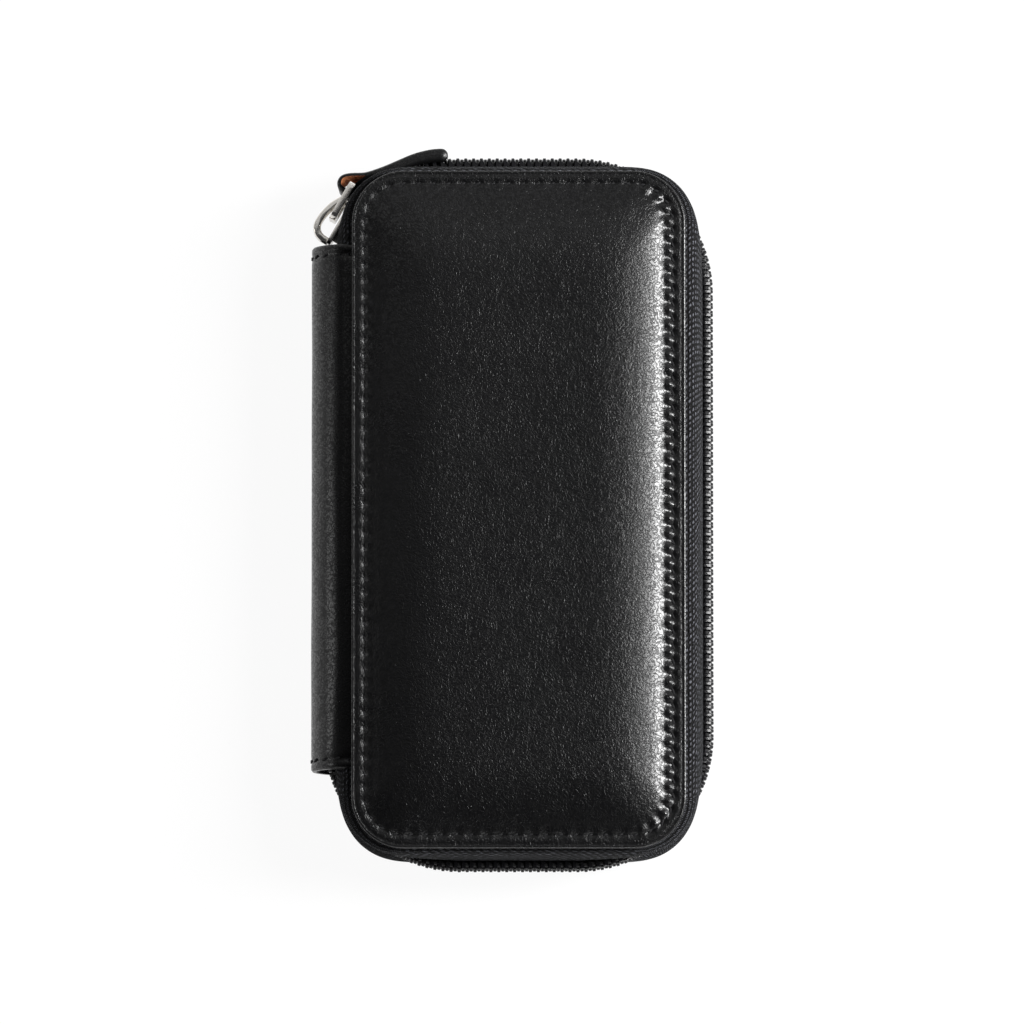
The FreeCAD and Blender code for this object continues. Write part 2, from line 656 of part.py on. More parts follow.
def arch_outline(sketch, width, leg):
    """Doorway outline standing on the sketch's X axis."""
    half, height = size(width) / 2, size(leg)
    floor = line(sketch, (-half, 0), (half, 0))
    right = line(sketch, (half, 0), (half, height))
    crown = arc(sketch, (0, height), half, 0, 180)
    left = line(sketch, (-half, height), (-half, 0))
    sketch.addConstraint(Sketcher.Constraint("Coincident", floor, 2, right, 1))
    sketch.addConstraint(Sketcher.Constraint("Tangent", right, 2, crown, 1))
    sketch.addConstraint(Sketcher.Constraint("Tangent", crown, 2, left, 1))
    sketch.addConstraint(Sketcher.Constraint("Coincident", left, 2, floor, 1))
    sketch.addConstraint(Sketcher.Constraint("Vertical", right))
    sketch.addConstraint(Sketcher.Constraint("Symmetric", floor, 1, floor, 2, -1, 1))
    bind(sketch, "width", "DistanceX", floor, 1, floor, 2, expression=width)
    bind(sketch, "leg", "DistanceY", right, 1, right, 2, expression=leg)


def make_pen_loop(number):
    """Leather loop for one pen, standing on the pen panel."""
    base_z = size(f"{COVER_OUT} - ({CAVITY_OUT}) + Dims.pen_panel_thickness")
    place_x = size("Dims.loop_pitch") * (number - (PEN_LOOPS + 1) / 2)
    place = FreeCAD.Placement(Vector(place_x, size("Dims.loop_centre"), base_z), FreeCAD.Rotation())
    body = new_body(f"pen_loop_{number}", place)
    outside = new_sketch(body, "outside", "XZ_Plane")
    arch_outline(outside, "Dims.loop_bore + 2 * Dims.loop_wall", "Dims.loop_leg")
    extrude(body, "Pad", outside, "Dims.loop_length", midplane=True)
    feet = new_sketch(body, "feet", "XZ_Plane")
    half = "Dims.loop_bore / 2 + Dims.loop_wall + Dims.loop_foot"
    rectangle(feet, f"-({half})", half, "0", "Dims.loop_wall")
    extrude(body, "Pad", feet, "Dims.loop_length", midplane=True)
    bore = new_sketch(body, "bore", "XZ_Plane")
    arch_outline(bore, "Dims.loop_bore", "Dims.loop_leg")
    extrude(body, "Pocket", bore, "Dims.loop_length", midplane=True)


for half_name in ("back", "front"):
    make_leather(half_name)
    make_foam(half_name)
    make_board(half_name)
    make_lining(half_name)
    make_tape(half_name)
    make_coil(half_name)
make_spine_leather()
make_spine_lining()
make_slider()
make_bridge()
make_link()
make_tab()
make_pen_panel()
for loop_number in range(1, PEN_LOOPS + 1):
    make_pen_loop(loop_number)
make_slip_pocket()

doc.recompute()
for item in doc.Objects:
    if "Invalid" in item.State or "Error" in item.State:
        raise RuntimeError(f"{item.Label} failed: {item.State}")
for part in subparts:
    if part.Shape.isNull() or not part.Shape.isValid():
        raise RuntimeError(f"{part.Label} has no valid shape")

os.makedirs("parts", exist_ok=True)
for part in subparts:
    part.Shape.exportStep(os.path.join("parts", f"{part.Label}.step"))
    print(part.Label, len(part.Shape.Solids), round(part.Shape.Volume, 1))
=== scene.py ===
import json
import math
from collections import namedtuple

import bmesh
import bpy
from bpy.props import FloatProperty, FloatVectorProperty, IntProperty, PointerProperty
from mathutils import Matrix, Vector, noise


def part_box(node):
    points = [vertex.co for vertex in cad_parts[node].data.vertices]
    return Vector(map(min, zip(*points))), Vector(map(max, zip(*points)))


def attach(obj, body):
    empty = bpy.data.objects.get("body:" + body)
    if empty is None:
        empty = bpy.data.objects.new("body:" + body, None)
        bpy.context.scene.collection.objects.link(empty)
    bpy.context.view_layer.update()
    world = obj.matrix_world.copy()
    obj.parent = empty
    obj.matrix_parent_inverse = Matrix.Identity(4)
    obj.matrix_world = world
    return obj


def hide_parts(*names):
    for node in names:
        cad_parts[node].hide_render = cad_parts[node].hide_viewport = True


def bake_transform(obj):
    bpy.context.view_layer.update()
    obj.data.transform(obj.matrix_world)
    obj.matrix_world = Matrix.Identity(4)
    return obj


bl_info = {
    "name": "Zip-around pen case",
    "version": (1, 0, 0),
    "blender": (4, 5, 0),
    "location": "View3D > Sidebar > Pen Case",
    "description": "Dresses the frame of a padded leather pen case with leather, zip, thread and metal",
    "category": "Object",
}

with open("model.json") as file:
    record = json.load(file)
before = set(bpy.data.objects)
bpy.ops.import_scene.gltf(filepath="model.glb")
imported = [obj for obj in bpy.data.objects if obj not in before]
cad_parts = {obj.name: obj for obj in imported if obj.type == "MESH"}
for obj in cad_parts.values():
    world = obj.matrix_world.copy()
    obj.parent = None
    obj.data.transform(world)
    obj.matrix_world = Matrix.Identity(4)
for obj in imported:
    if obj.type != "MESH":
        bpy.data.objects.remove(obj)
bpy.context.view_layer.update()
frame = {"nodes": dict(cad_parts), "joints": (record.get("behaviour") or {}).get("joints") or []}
MM = 0.001

# Places read from the frame, in metres. One half of the case is drawn by its rise,
# which is the distance from the zip's plane towards the outside of that half.
LEATHER_LOW, LEATHER_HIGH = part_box("front_leather")
FOAM_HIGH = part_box("front_foam")[1]
TAPE_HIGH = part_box("front_zip_tape")[1]
SPINE_LOW, SPINE_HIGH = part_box("spine_leather")
JOINT_AT = {joint["name"]: Vector(joint["pos_m"]) for joint in frame["joints"]}
ZIP_LEVEL = (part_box("back_leather")[0].z + LEATHER_HIGH.z) / 2
PANEL_HALF = Vector((LEATHER_HIGH.x, LEATHER_HIGH.y))
ZIP_HALF = Vector((TAPE_HIGH.x, TAPE_HIGH.y))
EDGE_RISE = LEATHER_LOW.z - ZIP_LEVEL
BOARD_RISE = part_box("front_board")[1].z - ZIP_LEVEL
CROWN_RISE = LEATHER_HIGH.z - ZIP_LEVEL
LEATHER_THICKNESS = LEATHER_HIGH.z - FOAM_HIGH.z
RIM_RISE = BOARD_RISE + LEATHER_THICKNESS
SEAM_INSET = PANEL_HALF.x - FOAM_HIGH.x
SPINE_RADIUS = (SPINE_HIGH.z - SPINE_LOW.z) / 2
SPINE_CENTRE = SPINE_LOW.x + SPINE_RADIUS
SPINE_END = SPINE_HIGH.y
SIDES = {"front": 1, "back": -1}

# Gap between two surfaces that touch, and the distance at which points are merged
CLEARANCE, MERGE = 0.02 * MM, 0.002 * MM


def length_property(name, description, millimetres):
    """Length kept in metres, written in millimetres."""
    return FloatProperty(name=name, description=description, default=millimetres * MM,
                         subtype="DISTANCE", unit="LENGTH")


def angle_property(name, description, degrees):
    """Angle kept in radians, written in degrees."""
    return FloatProperty(name=name, description=description, default=math.radians(degrees),
                         subtype="ANGLE", unit="ROTATION")


def share_property(name, description, share):
    return FloatProperty(name=name, description=description, default=share, min=0.0, max=1.0,
                         subtype="FACTOR")


def power_property(name, description, watts):
    return FloatProperty(name=name, description=description, default=watts, subtype="POWER", unit="POWER")


def colour_property(name, description, colour):
    return FloatVectorProperty(name=name, description=description, default=colour,
                               subtype="COLOR", size=3, min=0.0, max=1.0)


class CoverSettings(bpy.types.PropertyGroup):
    """Sizes of the padded covers and of their top stitching."""

    corner_radius: length_property("Corner radius", "Round corner of a cover in plan", 12.0)
    inner_radius: length_property("Crown corner radius", "Smallest round corner on the crown", 7.0)
    crown_reach: length_property("Crown reach", "From the seam to the flat middle", 19.0)
    crown_fullness: FloatProperty(name="Crown fullness", description="How quickly the padding rises",
                                  default=2.4, min=1.0, max=6.0, subtype="FACTOR")
    edge_radius: length_property("Edge radius", "Radius of the turned edge", 0.42)
    rim_swell: length_property("Rim swell", "Rise of the rim between the seam and the edge", 0.1)
    bead_height: length_property("Bead height", "Rise of the leather between two stitches", 0.56)
    bead_width: length_property("Bead width", "Half width of the beads across the seam", 0.8)
    bead_offset: length_property("Bead offset", "From the seam in to the middle of the beads", 0.7)
    bead_share: share_property("Bead share", "Height of the beads away from the zip's long side", 0.15)
    bead_link: share_property("Bead link", "How far the beads bridge the valley", 0.4)
    stitch_depth: length_property("Stitch depth", "How far the thread pulls the leather in", 0.38)
    valley_depth: length_property("Valley depth", "Depth of the valley inside the seam", 0.4)
    valley_offset: length_property("Valley offset", "From the seam in to the valley", 1.9)
    valley_width: length_property("Valley width", "Half width of the valley", 0.7)
    slant: FloatProperty(name="Gather slant", description="Turn of the gathers for each millimetre",
                         default=0.6, subtype="ANGLE", unit="ROTATION")
    unevenness: length_property("Unevenness", "Slow rise and fall of the padding", 0.10)
    stitch_count: IntProperty(name="Stitches", description="Stitches round one cover", default=124, min=8)


class SewingSettings(bpy.types.PropertyGroup):
    """Sizes of one sewn stitch."""

    length: length_property("Stitch length", "Seen length of one stitch", 1.7)
    width: length_property("Thread width", "Width of the thread", 0.62)
    height: length_property("Thread height", "Height of the thread", 0.5)
    slant: angle_property("Slant", "Turn of a stitch from the seam's line", 24.0)


class ZipSettings(bpy.types.PropertyGroup):
    """Sizes of the zip's tape and coil."""

    corner_radius: length_property("Zip corner radius", "Round corner of the zip in plan", 30.0)
    wall_inset: length_property("Wall inset", "Tape's face behind the outermost line of the zip", 1.15)
    wall_rise: length_property("Wall height", "Straight wall beside the coil", 3.0)
    edge_rise: length_property("Tape edge", "Edge of the tape from the zip's plane", 0.7)
    thickness: length_property("Tape thickness", "Woven tape", 0.32)
    coil_pitch: length_property("Coil pitch", "From one turn of the coil to the next", 1.8)
    coil_reach: length_property("Coil reach", "How far the bends of a turn are drawn out", 1.4)
    coil_root: length_property("Coil root", "How far a turn starts inside the zip's outermost line", 1.0)
    coil_near: length_property("Coil near leg", "From the zip's plane to a turn's leg at the tape", 1.8)
    coil_far: length_property("Coil far leg", "From the zip's plane to a turn's other leg", 0.1)
    filament: length_property("Filament radius", "Radius of the coil's filament", 0.56)
    core: length_property("Core cord", "Radius of the cord that the coil is wound round", 0.75)
    core_rise: length_property("Core rise", "Middle of the cord from the zip's plane", 0.95)
    core_setback: length_property("Core setback", "Middle of the cord inside the coil's line", 0.45)


class SpineSettings(bpy.types.PropertyGroup):
    """Sizes of the leather spine."""

    hem: length_property("Hem", "From the spine's end to its seam", 2.4)
    drawn_in: length_property("Drawn in", "How far the leather's near end is drawn in", 2.0)
    wall: length_property("Spine leather", "Thickness of the spine's leather", 1.2)
    lining: length_property("Spine lining", "Thickness of the lining inside the spine", 0.5)
    groove_depth: length_property("Hem groove", "Depth of the sewn groove at the hem", 0.3)


class PullSettings(bpy.types.PropertyGroup):
    """Sizes of the folded leather pull."""

    loop_radius: length_property("Fold radius", "Middle of the leather round the link's bar", 1.75)
    fold_back: length_property("Fold back", "From the link's bar back to the middle of the fold", 1.0)
    layer: length_property("Layer", "Thickness of one layer of the pull", 1.0)
    edge_round: length_property("Edge round", "Depth of the pull's rounded edges", 1.0)
    straight: length_property("Straight", "Straight part of the pull", 14.0)
    bend_radius: length_property("Bend radius", "Bend towards the pull's end", 22.0)
    bend_length: length_property("Bend length", "Length of the bent part", 7.8)
    end_layer: length_property("End layer", "Thickness of one layer at the pull's thick end", 1.55)
    lean: angle_property("Lean", "Lean of the fold away from the case", 14.0)
    lean_length: length_property("Lean length", "From the link's bar to where the pull stands upright", 10.0)
    angle: angle_property("Lie", "Direction of the pull from the X axis", 21.5)


class FinishSettings(bpy.types.PropertyGroup):
    """Colours of the case's materials."""

    leather: colour_property("Leather", "Black cover leather", (0.0015, 0.0015, 0.0017))
    flesh: colour_property("Flesh side", "Raw inside of the pull's leather", (0.42, 0.15, 0.055))
    thread: colour_property("Thread", "Sewing thread", (0.004, 0.004, 0.0045))
    tape: colour_property("Tape", "Woven zip tape", (0.0036, 0.0037, 0.0042))
    coil: colour_property("Coil", "Nylon coil", (0.004, 0.004, 0.0045))
    nickel: colour_property("Nickel", "Plated slider and link", (0.86, 0.83, 0.78))
    lining: colour_property("Lining", "Woven lining", (0.012, 0.012, 0.014))


class StageSettings(bpy.types.PropertyGroup):
    """Camera and lamps."""

    aim: FloatVectorProperty(name="Aim", description="Point in the middle of the picture",
                             default=(-0.00155, -0.00085, 0.0286), subtype="XYZ", unit="LENGTH", size=3)
    elevation: angle_property("Elevation", "Height of the camera above the horizon", 83.7)
    distance: length_property("Distance", "From the camera to the case", 3000.0)
    picture_width: length_property("Picture width", "Width that the picture covers at the case", 234.5)
    key_power: power_property("Key", "Power of the long softbox at the right", 44.0)
    top_power: power_property("Top", "Power of the soft light above the zip's end", 0.95)
    side_power: power_property("Side", "Power of the narrow light at the left", 0.35)
    near_power: power_property("Near", "Power of the low light at the near end", 3.2)


class PenCaseSettings(bpy.types.PropertyGroup):
    """Everything that a user would change."""

    cover: PointerProperty(type=CoverSettings)
    sewing: PointerProperty(type=SewingSettings)
    zip: PointerProperty(type=ZipSettings)
    spine: PointerProperty(type=SpineSettings)
    pull: PointerProperty(type=PullSettings)
    finish: PointerProperty(type=FinishSettings)
    stage: PointerProperty(type=StageSettings)


def settings():
    return bpy.context.scene.pen_case


# Node trees

class Value:
    """A socket in a node tree; arithmetic on it adds Math nodes."""

    def __init__(self, graph, socket):
        self.graph = graph
        self.socket = socket

    def _math(self, operation, *operands):
        return self.graph.node("ShaderNodeMath", {"operation": operation}, dict(enumerate(operands)))

    def __add__(self, other):
        return self._math("ADD", self, other)

    def __radd__(self, other):
        return self._math("ADD", other, self)

    def __sub__(self, other):
        return self._math("SUBTRACT", self, other)

    def __rsub__(self, other):
        return self._math("SUBTRACT", other, self)

    def __mul__(self, other):
        return self._math("MULTIPLY", self, other)

    def __abs__(self):
        return self._math("ABSOLUTE", self)

    def sine(self):
        return self._math("SINE", self)

    def smooth(self, low, high):
        """0 below low, 1 above high, eased between."""
        ease = {"interpolation_type": "SMOOTHSTEP"}
        return self.graph.node("ShaderNodeMapRange", ease, {"Value": self, 1: low, 2: high})


class Graph:
    """A node tree under construction."""

    def __init__(self, tree):
        self.tree = tree

    def node(self, kind, options=None, sockets=None, output=0):
        """Add a node: its settings first, then the values or links of its sockets."""
        node = self.tree.nodes.new(kind)
        for key, option in (options or {}).items():
            setattr(node, key, option)
        for key, entry in (sockets or {}).items():
            if isinstance(entry, Value):
                self.tree.links.new(entry.socket, node.inputs[key])
            else:
                node.inputs[key].default_value = entry
        return Value(self, node.outputs[output]) if node.outputs else None


# Materials

FINISH_MARK = "_finish"


class Finish(Graph):
    """One material and its node tree."""

    def __init__(self, name):
        self.material = bpy.data.materials.new(name + FINISH_MARK)
        self.material.use_nodes = True
        super().__init__(self.material.node_tree)
        self.tree.nodes.clear()

    def place(self, scale=(1, 1, 1), source="Object"):
        """Coordinates on the piece, stretched by a scale for each axis."""
        spot = self.node("ShaderNodeTexCoord", output=source)
        return self.node("ShaderNodeMapping", {"vector_type": "POINT"}, {"Vector": spot, "Scale": scale})

    def grain(self, place, scale, detail=3.0, rough=0.55):
        """Soft noise from 0 to 1."""
        sockets = {"Vector": place, "Scale": scale, "Detail": detail, "Roughness": rough}
        return self.node("ShaderNodeTexNoise", {"noise_dimensions": "3D"}, sockets)

    def cells(self, place, scale):
        """Distance to the nearest border between cells, 0 on the border."""
        options = {"feature": "DISTANCE_TO_EDGE", "voronoi_dimensions": "3D"}
        return self.node("ShaderNodeTexVoronoi", options, {"Vector": place, "Scale": scale})

    def wrinkles(self, place, scale, width):
        """Curled lines where soft noise passes its middle: 0 on a line, 1 away from it."""
        return abs(self.grain(place, scale, detail=1.0) - 0.5).smooth(0.0, width)

    def warp(self, place, scale, amount):
        """Coordinates pushed about by noise."""
        options = {"noise_dimensions": "3D"}
        drift = self.node("ShaderNodeTexNoise", options, {"Vector": place, "Scale": scale}, output="Color")
        push = self.node("ShaderNodeVectorMath", {"operation": "SCALE"}, {0: drift, "Scale": amount})
        return self.node("ShaderNodeVectorMath", {"operation": "ADD"}, {0: place, 1: push})

    def blend(self, share, first, second):
        """Mix of two colours."""
        options = {"data_type": "RGBA", "blend_type": "MIX"}
        sockets = {0: share, 6: (*first, 1.0), 7: (*second, 1.0)}
        return self.node("ShaderNodeMix", options, sockets, output=2)

    def bump(self, height, distance):
        return self.node("ShaderNodeBump", None, {"Height": height, "Distance": distance, "Strength": 1.0})

    def surface(self, **sockets):
        """Finish the material with a Principled shader."""
        named = {key.replace("_", " "): entry for key, entry in sockets.items()}
        shader = self.node("ShaderNodeBsdfPrincipled", None, named)
        self.node("ShaderNodeOutputMaterial", None, {"Surface": shader})
        return self.material


def tint(colour, factor):
    return tuple(min(1.0, channel * factor) for channel in colour)


# Leather's grain: lines and creases for each metre, and how wide the lines are in the noise
WRINKLE_SCALE, WRINKLE_WIDTH = 1180.0, 0.13
FINE_SCALE, FINE_WIDTH = WRINKLE_SCALE * 2.2, 0.2
CREASE_SCALE, POLISH_SCALE = 480.0, 60.0
GRAIN_STRETCH, CREASE_STRETCH = (1.0, 0.92, 1.0), (1.0, 0.45, 1.0)

# How light each leather is, its gloss, and the heights of its crackle and creases in millimetres
LEATHERS = {
    "cover_leather": (1.0, 0.22, 0.029, 0.11),
    "spine_leather": (1.0, 0.2, 0.008, 0.05),
    "pull_leather": (1.0, 0.28, 0.008, 0.05),
    "insert_leather": (2.0, 0.42, 0.014, 0.08),
}


def leather_finish(name, colour, light, gloss, crackle, crease):
    """Smooth pulled-up leather: fine curled wrinkles, long soft creases, uneven polish."""
    finish = Finish(name)
    place = finish.warp(finish.place(GRAIN_STRETCH), scale=420.0, amount=0.9 * MM)
    wrinkles = finish.wrinkles(place, WRINKLE_SCALE, WRINKLE_WIDTH)
    fine = finish.wrinkles(place, FINE_SCALE, FINE_WIDTH)
    creases = finish.grain(finish.place(CREASE_STRETCH), CREASE_SCALE, detail=4.0, rough=0.65)
    height = wrinkles * crackle + fine * (crackle * 0.5) + creases * crease
    polish = finish.grain(place, POLISH_SCALE)
    # The base colour is darker along the wrinkle lines: painted shade in their grooves.
    return finish.surface(
        Base_Color=finish.blend(wrinkles, tint(colour, 0.6 * light), tint(colour, 1.2 * light)),
        Roughness=gloss + 0.06 + (polish - 0.5) * 0.10 + (1 - wrinkles) * 0.12,
        Specular_IOR_Level=0.22,
        Coat_Weight=wrinkles * (0.25 + fine * 0.5),
        Coat_Roughness=gloss,
        Coat_IOR=1.48,
        Normal=finish.bump(height, MM),
    )


def flesh_finish(name, colour):
    """Raw, fibrous underside of leather."""
    finish = Finish(name)
    fibres = finish.grain(finish.place((1.0, 1.0, 0.3)), 2600.0, detail=5.0, rough=0.7)
    blotch = finish.grain(finish.place(), 500.0, detail=2.0)
    return finish.surface(
        Base_Color=finish.blend(blotch, tint(colour, 0.55), tint(colour, 1.5)),
        Roughness=0.75 + fibres * 0.2,
        Normal=finish.bump(fibres, 0.25 * MM),
    )


def thread_finish(name, colour):
    """Bonded sewing thread with a fine twist."""
    finish = Finish(name)
    twist = finish.grain(finish.place(), 5200.0, detail=2.0)
    return finish.surface(
        Base_Color=finish.blend(twist, tint(colour, 0.7), tint(colour, 1.8)),
        Roughness=0.45 + twist * 0.2,
        Specular_IOR_Level=0.14,
        Normal=finish.bump(twist, 0.12 * MM),
    )


def woven_finish(name, colour, yarn, painted_glint_share):
    """Cloth woven over and under, on the piece's own map in metres; the yarn is in millimetres."""
    finish = Finish(name)
    place = finish.place(source="UV")
    split = finish.node("ShaderNodeSeparateXYZ", None, {0: finish.warp(place, 900.0, 0.6 * MM)})
    along = Value(finish, split.socket.node.outputs[0])
    across = Value(finish, split.socket.node.outputs[1])
    turn = math.pi / (yarn * MM)
    knots = abs(((along + across * 0.5) * turn).sine() * (across * turn).sine())
    lint = finish.grain(place, 1100.0, detail=2.0, rough=0.7)
    # The raised knots of the weave are painted many times lighter than the cloth: painted glints, thinned
    # out by lint.
    painted_glint = knots.smooth(0.4, 0.9) * lint.smooth(0.35, 0.65)
    return finish.surface(
        Base_Color=finish.blend(painted_glint * painted_glint_share, tint(colour, 0.35), tint(colour, 22.0)),
        Roughness=0.65 + lint * 0.2,
        Specular_IOR_Level=0.12,
        Normal=finish.bump(knots + lint * 0.5, 0.4 * MM),
    )


def nylon_finish(name, colour):
    """Smooth moulded filament."""
    finish = Finish(name)
    wear = finish.grain(finish.place(), 1400.0, detail=2.0)
    return finish.surface(
        Base_Color=finish.blend(wear, tint(colour, 0.7), tint(colour, 1.5)),
        Roughness=0.12 + wear * 0.08,
        Specular_IOR_Level=0.16,
        Normal=finish.bump(wear, 0.05 * MM),
    )


def nickel_finish(name, colour):
    """Plated metal, softly tumbled, with hairline scratches."""
    finish = Finish(name)
    haze = finish.grain(finish.place(), 700.0)
    hairs = finish.grain(finish.place((1.0, 1.0, 0.08)), 5200.0, detail=2.0)
    return finish.surface(
        Base_Color=finish.blend(haze, tint(colour, 0.88), tint(colour, 1.08)),
        Metallic=1.0,
        Roughness=0.13 + haze * 0.14,
        Normal=finish.bump(hairs, 0.012 * MM),
    )


def board_finish(name):
    """Grey pressed card."""
    finish = Finish(name)
    fibres = finish.grain(finish.place((1.0, 0.4, 1.0)), 1800.0, detail=5.0, rough=0.7)
    return finish.surface(
        Base_Color=finish.blend(fibres, (0.20, 0.18, 0.15), (0.33, 0.30, 0.26)),
        Roughness=0.85,
        Normal=finish.bump(fibres, 0.1 * MM),
    )


def foam_finish(name):
    """Open-cell padding."""
    finish = Finish(name)
    pores = finish.cells(finish.place(), 1600.0).smooth(0.0, 0.3)
    return finish.surface(
        Base_Color=finish.blend(pores, (0.32, 0.31, 0.27), (0.62, 0.60, 0.54)),
        Roughness=0.95,
        Normal=finish.bump(pores, 0.3 * MM),
    )


def material(name):
    """The named finish, made once."""
    made = bpy.data.materials.get(name + FINISH_MARK)
    if made:
        return made
    colours = settings().finish
    if name in LEATHERS:
        return leather_finish(name, colours.leather, *LEATHERS[name])
    makers = {
        "flesh": lambda: flesh_finish(name, colours.flesh),
        "thread": lambda: thread_finish(name, colours.thread),
        "zip_tape": lambda: woven_finish(name, colours.tape, yarn=1.0, painted_glint_share=1.0),
        "lining_cloth": lambda: woven_finish(name, colours.lining, yarn=0.55, painted_glint_share=0.5),
        "zip_coil": lambda: nylon_finish(name, colours.coil),
        "nickel": lambda: nickel_finish(name, colours.nickel),
        "board": lambda: board_finish(name),
        "foam": lambda: foam_finish(name),
    }
    return makers[name]()


# Mesh building

SHARP_SHEET, SHARP_SOLID = math.radians(50), math.radians(38)


def ramp(value, low, high):
    """0 below low, 1 above high, straight between."""
    return min(1.0, max(0.0, (value - low) / (high - low)))


def eased(share):
    """Share from 0 to 1 with soft ends."""
    return share * share * (3 - 2 * share)


def bell(distance, width):
    """Bell-shaped share, 1 at no distance."""
    return math.exp(-(distance / width) ** 2)


def mix(first, second, share):
    return first + (second - first) * share


def walk(points):
    """Distance along a line to each of its points."""
    distance = [0.0]
    for here, there in zip(points, points[1:]):
        distance.append(distance[-1] + (there - here).length)
    return distance


def dress(piece, body, node):
    """Let a piece ride on a body in a node's place, and hide the node."""
    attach(piece, body)
    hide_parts(node)


def level(side, rise):
    """Height above the floor of a rise from the zip's plane."""
    return ZIP_LEVEL + SIDES[side] * rise


def outline(half, radius, counts):
    """Points and outward directions round a rectangle with round corners.

    It runs anticlockwise from the lower end of the +X side. The counts are the steps on a
    long side, a short side and a corner.
    """
    straight = half - Vector((radius, radius))
    signs = ((1, -1), (1, 1), (-1, 1), (-1, -1))
    centres = [Vector((sx * straight.x, sy * straight.y)) for sx, sy in signs]
    points = []
    for turn in range(4):
        facing = Vector((math.cos(turn * math.pi / 2), math.sin(turn * math.pi / 2)))
        corner = centres[(turn + 1) % 4]
        start = centres[turn] + radius * facing
        steps = counts[turn % 2]
        points += [(start.lerp(corner + radius * facing, step / steps), facing) for step in range(steps)]
        for step in range(counts[2]):
            angle = (turn + step / counts[2]) * math.pi / 2
            facing = Vector((math.cos(angle), math.sin(angle)))
            points.append((corner + radius * facing, facing))
    return points


def new_piece(name, mesh, finish):
    """Object at the origin for a finished mesh."""
    piece = bpy.data.objects.new(name, mesh)
    bpy.context.scene.collection.objects.link(piece)
    if finish:
        mesh.materials.append(material(finish))
    return piece


def lattice(name, rows, finish, ring=False, tube=False, flow=None):
    """Mesh over rows of points of equal length.

    A ring's rows close on themselves. A tube's last row joins its first, and an open tube
    gets an end face at each end. With a flow, which is the distance along a row, the mesh
    carries a map in metres.
    """
    bm = bmesh.new()
    uv = bm.loops.layers.uv.new("UVMap") if flow else None
    grid = [[bm.verts.new(point) for point in row] for row in rows]
    columns = len(rows[0])
    drop = [0.0]
    for above, below in zip(rows, rows[1:] + rows[:1]):
        drop.append(drop[-1] + (below[0] - above[0]).length)
    for r in range(len(rows) if tube else len(rows) - 1):
        for c in range(columns if ring else columns - 1):
            following = (c + 1) % columns
            below = (r + 1) % len(rows)
            face = bm.faces.new((grid[r][c], grid[r][following], grid[below][following], grid[below][c]))
            if flow:
                spots = ((c, r), (c + 1, r), (c + 1, r + 1), (c, r + 1))
                for loop, (column, row) in zip(face.loops, spots):
                    loop[uv].uv = (flow[column], drop[row])
    if tube and not ring:
        bm.faces.new([row[0] for row in grid])
        bm.faces.new([row[-1] for row in reversed(grid)])
    bmesh.ops.remove_doubles(bm, verts=bm.verts, dist=MERGE)
    bmesh.ops.recalc_face_normals(bm, faces=bm.faces)
    for face in bm.faces:
        face.smooth = True
    mesh = bpy.data.meshes.new(name)
    bm.to_mesh(mesh)
    bm.free()
    mesh.set_sharp_from_angle(angle=SHARP_SHEET)
    return new_piece(name, mesh, finish)


def path_object(name, runs):
    """Helper mesh of runs: each is a list of points, their outward directions, closed or not."""
    mesh = bpy.data.meshes.new(name)
    points, outwards, edges = [], [], []
    for run, directions, closed in runs:
        first = len(points)
        points += run
        outwards += directions
        edges += [(first + k, first + k + 1) for k in range(len(run) - 1)]
        if closed:
            edges.append((first + len(run) - 1, first))
    mesh.from_pydata(points, edges, [])
    facing = mesh.attributes.new("outward", "FLOAT_VECTOR", "POINT")
    facing.data.foreach_set("vector", [part for direction in outwards for part in direction])
    helper = bpy.data.objects.new(name, mesh)
    bpy.context.scene.collection.objects.link(helper)
    return helper


def refined_copy(node, name, finish, bevel, swell):
    """Copy of a rigid node with merged faces and softened edges, swollen by some millimetres."""
    bm = bmesh.new()
    bm.from_mesh(frame["nodes"][node].data)
    bmesh.ops.remove_doubles(bm, verts=bm.verts, dist=MERGE)
    bmesh.ops.dissolve_limit(bm, angle_limit=math.radians(1), verts=bm.verts, edges=bm.edges)
    mesh = bpy.data.meshes.new(name)
    bm.to_mesh(mesh)
    bm.free()
    rough = bpy.data.objects.new(name + "_rough", mesh)
    bpy.context.scene.collection.objects.link(rough)
    fuller = rough.modifiers.new("fuller", "DISPLACE")
    fuller.strength = swell * MM
    fuller.mid_level = 0.0
    soften = rough.modifiers.new("soften", "BEVEL")
    soften.width = bevel * MM
    soften.segments = 3
    soften.limit_method = "ANGLE"
    soften.angle_limit = math.radians(40)
    return settle(rough, name, finish)


def settle(helper, name, finish=None):
    """Plain mesh piece from an object with modifiers, which is then removed."""
    graph = bpy.context.evaluated_depsgraph_get()
    mesh = bpy.data.meshes.new_from_object(helper.evaluated_get(graph))
    mesh.name = name
    helper.modifiers.clear()
    bpy.data.objects.remove(helper)
    if finish:
        mesh.materials.clear()
    mesh.shade_smooth()
    mesh.set_sharp_from_angle(angle=SHARP_SOLID)
    return new_piece(name, mesh, finish)


# Rows of repeated shapes

